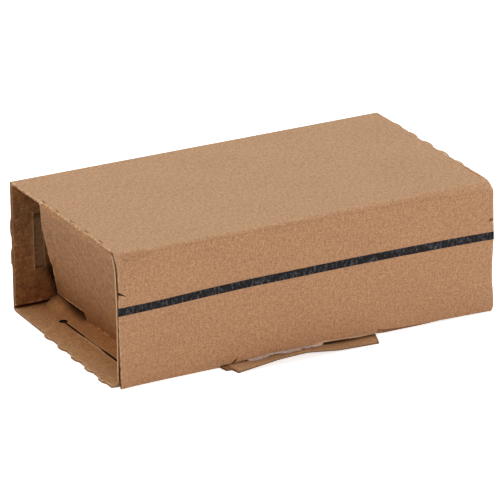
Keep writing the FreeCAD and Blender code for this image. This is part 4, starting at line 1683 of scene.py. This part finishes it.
@dataclass
class Tongue:
    """The tongue of the floor that juts out below the flap, its front edge buckled upwards.

    Attributes:
        stations: Distances from its left end.
        heights: Height of the underside's front edge there.
        step_out: How far out its torn left end steps in.
        left_taper: How much shorter the front edge is at the left.
        right_taper: How much shorter it is at the right.
        root: Y at which it starts to rise.
    """

    stations: Row = (0.0, 5.0, 38.0, 59.6, 84.9, 118.0, 123.6)
    heights: Row = (0.0, 0.0, 3.8, 4.5, 1.2, 0.1, 0.0)
    step_out: float = 8.0
    left_taper: float = 5.4
    right_taper: float = 6.8

    root: float = PLY_OUT + 2.0

    def underside(self, x: Array, y: Array) -> Array:
        """Gives the height of the underside: the front edge's line times a share that rises from the root.

        Args:
            x: Places along the carton.
            y: Distances from the flap's face.

        Returns:
            The height, in millimetres.
        """
        out = (self.root - y) / (self.root + TONGUE_REACH)
        bent = smoothstep(out, 0.0, 1.5) / smoothstep(np.array(1.0), 0.0, 1.5)
        return soft_interp(x - TONGUE_LEFT, self.stations, self.heights, 6.0) * bent

    def build(self, finishes: Finishes) -> bpy.types.Object:
        """Works out the tongue's two faces and its fluting, and makes the piece."""
        root = self.root
        reach = root + TONGUE_REACH
        step = np.array([self.step_out, self.step_out + 0.2])
        out = merged_lines(0.07, 0.0, 1.0, step / reach + root / reach)
        y = root - out * reach
        along = merged_lines(2.0, 0.0, TONGUE_RIGHT - TONGUE_LEFT, [])
        whole = along[-1]
        left = np.interp(-y, (-root, -0.6, 0.4, self.step_out, self.step_out + 0.2, TONGUE_REACH),
                         (0.0, 0.0, -1.2, 0.1, self.left_taper - 1.2, self.left_taper))[:, None]
        right = self.right_taper * out[:, None]
        x = TONGUE_LEFT + left + (along / whole)[None] * (whole - left - right)
        z = self.underside(x, y[:, None])
        grid_y = np.broadcast_to(y[:, None], x.shape)
        step_z = np.gradient(z, axis=0) / np.gradient(grid_y, axis=0)
        outer = points_at(x, grid_y, z)
        inner = points_at(x, grid_y - BOARD * step_z * 0.6, z + BOARD)
        at = x - TONGUE_LEFT
        # Painted shade of the tongue under the flap, darkest at its torn left end, with a painted contact
        # shadow along its root and beside the flap's right part, and darker cut ends
        shade = 0.22 - 0.22 * falloff(at, 8.0, 40.0) + 0.5 * falloff(at, 3.0, 6.0)
        shade = shade - 0.10 * smoothstep(at, 95.0, 118.0)
        beside = 0.6 * smoothstep(at, 78.0, 96.0) * smoothstep(y, -6.5, -4.0)[:, None]
        root_shadow = smoothstep(y, -3.0, -0.9)[:, None] + beside
        shade = shade * (1.0 - 0.25 * smoothstep(out, 0.6, 1.0))[:, None]
        wear = -np.clip(shade + 0.8 * root_shadow, 0, 0.93)
        sheet = BoardSheet(outer, inner, x, grid_y, set_back=(0.0, FLUTE_DEPTH, 0.3, 0.3), wear=wear,
                           end_wear_and_shade=np.full(len(y), -0.45))
        comb = fluting(outer[-1], inner[-1], outer[-2] - outer[-1], x[-1], FLUTE_DEPTH, crushed=True)
        return make_piece("tongue", [sheet.shell(), comb], finishes.board(), "carton")


@dataclass
class TearTape:
    """The dark tape along the front flap, a little longer than the flap.

    Attributes:
        bottom: Height of its lower edge.
        width: Its width.
        stations: Places along X where its rise is known.
        rises: How far it runs above a straight line there.
        thickness: Its thickness.
        overhang: How far it stands out at each end.
    """

    bottom: float = 53.05
    width: float = 5.9
    stations: Row = (-148.5, -135.0, -112.0, -81.0, -42.0, 36.0, 75.0, 106.0, 138.0, 148.5)
    rises: Row = (0.2, 0.33, 0.7, 1.75, 2.75, 2.8, 2.8, 2.3, 1.5, 1.2)
    thickness: float = 0.22
    overhang: float = 0.3

    def build(self, sleeve: Sleeve, finishes: Finishes) -> bpy.types.Object:
        """Lays the tape on the flap's own bowed face, its edges thinned to half."""
        x = merged_lines(2.5, -HALF_LENGTH - self.overhang, HALF_LENGTH + self.overhang, [])
        across = np.linspace(0, 1, 7)
        rise = soft_interp(x, self.stations, self.rises, 12.0) + 0.06 * np.sin(x / 17.0)
        z = self.bottom + across[:, None] * self.width + rise[None]
        grid_x = np.broadcast_to(x, z.shape)
        face = -sleeve.bow(np.clip(grid_x, -HALF_LENGTH, HALF_LENGTH), z)
        crown = self.thickness * (0.45 + 0.55 * np.sin(math.pi * across) ** 0.5)[:, None]
        outer = points_at(grid_x, face - crown, z)
        inner = points_at(grid_x, face - 0.01, z)
        sheet = BoardSheet(outer, inner, grid_x, z, set_back=(0.0, 0.0, 0.0, 0.0))
        return make_piece("tear_tape", [sheet.shell()], finishes.plain("tear_tape"), "tear_strip")


@dataclass
class ReleaseLiner:
    """The crumpled strip of release paper between the flap's lower edge and the tongue.

    Attributes:
        start: Where it starts, from the tongue's left end.
        length: Its length.
        width: Its width.
        stations: Places along X where its visible width is known.
        reaches: Share of the width that shows there.
        thickness: Its thickness.
    """

    start: float = 20.0
    length: float = 60.0
    width: float = 7.5
    stations: Row = (
        -50, -48, -36, -33, -27, -24, -10, -8, -6.5, -5, -1.5, -0.5, 0.5, 2, 8, 10,
    )
    reaches: Row = (
        0.3, 0.8, 0.7, 0.1, 0.1, 1.0, 0.9, 0.1, 0.1, 0.6, 0.6, 0.1, 0.1, 0.45, 0.4, 0.1,
    )
    thickness: float = 0.12

    def build(self, sleeve: Sleeve, finishes: Finishes) -> bpy.types.Object:
        """Works out the strip: it falls from the flap's edge to the tongue, folded by a triangle wave."""
        x = np.linspace(TONGUE_LEFT + self.start, TONGUE_LEFT + self.start + self.length, 121)
        across = np.linspace(0, 1, 9)
        q = (x - x[0])[None]
        reach = np.interp(x, self.stations, self.reaches)[None] * (1.0 + 0.08 * np.sin(q * 1.7))
        y = -0.3 - across[:, None] * self.width * reach
        grid_x = np.broadcast_to(x, y.shape)
        fold = np.abs(((q / 8.7 + 0.31 * np.sin(q / 6.1) + 0.35 * across[:, None]) % 1.0) - 0.5) * 2.0
        fine = np.sin(q * 1.1 + across[:, None] * 3.0) * 0.10
        bed = BOARD + Tongue().underside(x[None], y)
        hem = sleeve.lower_edge(x)[None] - 0.35
        fall = (1.0 - across[:, None]) ** 1.3
        z = bed + 0.12 + np.maximum(hem - bed, 0.2) * fall + 0.35 * fold * (1.0 - fall) + np.abs(fine)
        outer = points_at(grid_x, y, z + self.thickness)
        inner = points_at(grid_x, y, z)
        sheet = BoardSheet(outer, inner, grid_x, y, set_back=(0.0, 0.0, 0.0, 0.0))
        made = finishes.plain("release_paper")
        return make_piece("release_liner_strip", [sheet.shell()], made, "release_liner")


# The studio


@dataclass(frozen=True)
class Studio:
    """Floor, lamps and camera.

    Attributes:
        eye: Place of the camera, in metres.
        right: Its right direction.
        up: Its up direction.
        lens: Focal length on a sensor 36 mm wide.
        sky: Strength of the light from all round.
        overhead: Power of the large lamp above, for red, green and blue.
        front: Power of the soft lamp in front.
        side: Power of the warm lamp at the left.
        ground: Colour of the floor.
        ground_glow: Light that it adds for the camera, so that it looks white.
        ground_half: Half its side, in metres.
        ground_height: Height of its surface, just under the carton.
    """

    eye: Point = (-1.63021, -3.14452, 1.39424)
    right: Point = (0.88579, -0.46386, -0.01461)
    up: Point = (0.17688, 0.30833, 0.93469)
    lens: float = 384.07
    sky: float = 0.15
    overhead: Colour = (41.5, 50.3, 55.0)
    front: Colour = (42.5, 38.5, 35.0)
    side: Colour = (20.0, 14.5, 9.0)
    ground: Colour = (0.82, 0.82, 0.82)
    ground_glow: float = 0.72
    ground_half: float = 9.0
    ground_height: float = -0.0002

    def camera(self) -> None:
        """Makes the camera and gives it to the scene."""
        data = bpy.data.cameras.new("camera")
        data.sensor_width = 36.0
        data.lens = self.lens
        data.clip_end = 50.0
        camera = bpy.data.objects.new("camera", data)
        right, up = Vector(self.right).normalized(), Vector(self.up).normalized()
        back = right.cross(up).normalized()
        up = back.cross(right)
        turn = Matrix((right, up, back)).transposed().to_4x4()
        camera.matrix_world = Matrix.Translation(self.eye) @ turn
        bpy.context.scene.collection.objects.link(camera)
        bpy.context.scene.camera = camera

    @staticmethod
    def lamp(name: str, place: Point, size: float, power: Colour) -> None:
        """Adds a square area lamp that points at the carton.

        Args:
            name: Name of the lamp.
            place: Where it hangs.
            size: Length of its side.
            power: Its power in watts for red, green and blue.
        """
        data = bpy.data.lights.new(name, "AREA")
        data.size = size
        data.energy = max(power)
        data.color = [value / max(power) for value in power]
        lamp = bpy.data.objects.new(name, data)
        lamp.location = place
        lamp.rotation_mode = "QUATERNION"
        lamp.rotation_quaternion = (Vector((0, 0, 0.05)) - Vector(place)).to_track_quat("-Z", "Y")
        bpy.context.scene.collection.objects.link(lamp)

    def world(self) -> None:
        """A white surround for camera and transmission rays, and a softer one that lights the carton."""
        world = bpy.data.worlds.new("studio")
        world.use_nodes = True
        world.node_tree.nodes.clear()
        wiring = Wiring(world.node_tree)
        white = (1.0, 1.0, 1.0, 1.0)
        seen = wiring.feed(wiring.add("Background"), {"Color": white, "Strength": 1.0}).outputs[0]
        lit = wiring.feed(wiring.add("Background"), {"Color": white, "Strength": self.sky}).outputs[0]
        chosen = wiring.by_ray(("Is Camera Ray", "Is Transmission Ray"), lit, seen)
        wiring.feed(wiring.add("OutputWorld"), {"Surface": chosen})
        bpy.context.scene.world = world

    def floor(self) -> None:
        """A pale floor that is white to camera and glossy rays and keeps the carton's shadow."""
        mesh = bpy.data.meshes.new("studio_floor")
        half, low = self.ground_half, self.ground_height
        corners = [(-half, -half, low), (half, -half, low), (half, half, low), (-half, half, low)]
        mesh.from_pydata(corners, [], [(0, 1, 2, 3)])
        material, wiring, shader = new_material("studio_floor", self.ground)
        inputs = {"Base Color": (*self.ground, 1.0), "Roughness": 0.9, "Specular IOR Level": 0.1}
        plain = wiring.feed(shader, inputs).outputs[0]
        glow = wiring.feed(wiring.add("Emission"), {"Strength": self.ground_glow}).outputs[0]
        both = wiring.feed(wiring.add("AddShader"), {0: plain, 1: glow}).outputs[0]
        chosen = wiring.by_ray(("Is Camera Ray", "Is Glossy Ray"), plain, both)
        wiring.feed(wiring.tree.nodes["Material Output"], {"Surface": chosen})
        mesh.materials.append(material)
        floor = bpy.data.objects.new("studio_floor", mesh)
        bpy.context.scene.collection.objects.link(floor)

    def build(self) -> None:
        """Sets the studio up."""
        bpy.context.scene.view_settings.view_transform = "Standard"
        self.camera()
        self.world()
        self.floor()
        self.lamp("overhead", (0.2, 0.5, 2.2), 1.8, self.overhead)
        self.lamp("front", (0.9, -2.4, 0.7), 1.5, self.front)
        self.lamp("side", (-2.0, 0.5, 1.5), 1.2, self.side)


def main() -> None:
    """Builds the studio, the finishes and every piece in order."""
    logging.basicConfig(level=logging.INFO, format="%(name)s: %(message)s")
    Studio().build()
    finishes = Finishes()
    finishes.build()
    sleeve = Sleeve()
    sleeve.build(finishes)
    for end in End:
        EndWall(end).build(finishes)
    BackPly().build(finishes)
    Tongue().build(finishes)
    TearTape().build(sleeve, finishes)
    ReleaseLiner().build(sleeve, finishes)
    glue = bpy.data.objects["adhesive_band"]
    glue.data.materials.clear()
    glue.data.materials.append(finishes.made["glue_band"])


if __name__ == "__main__":
    main()
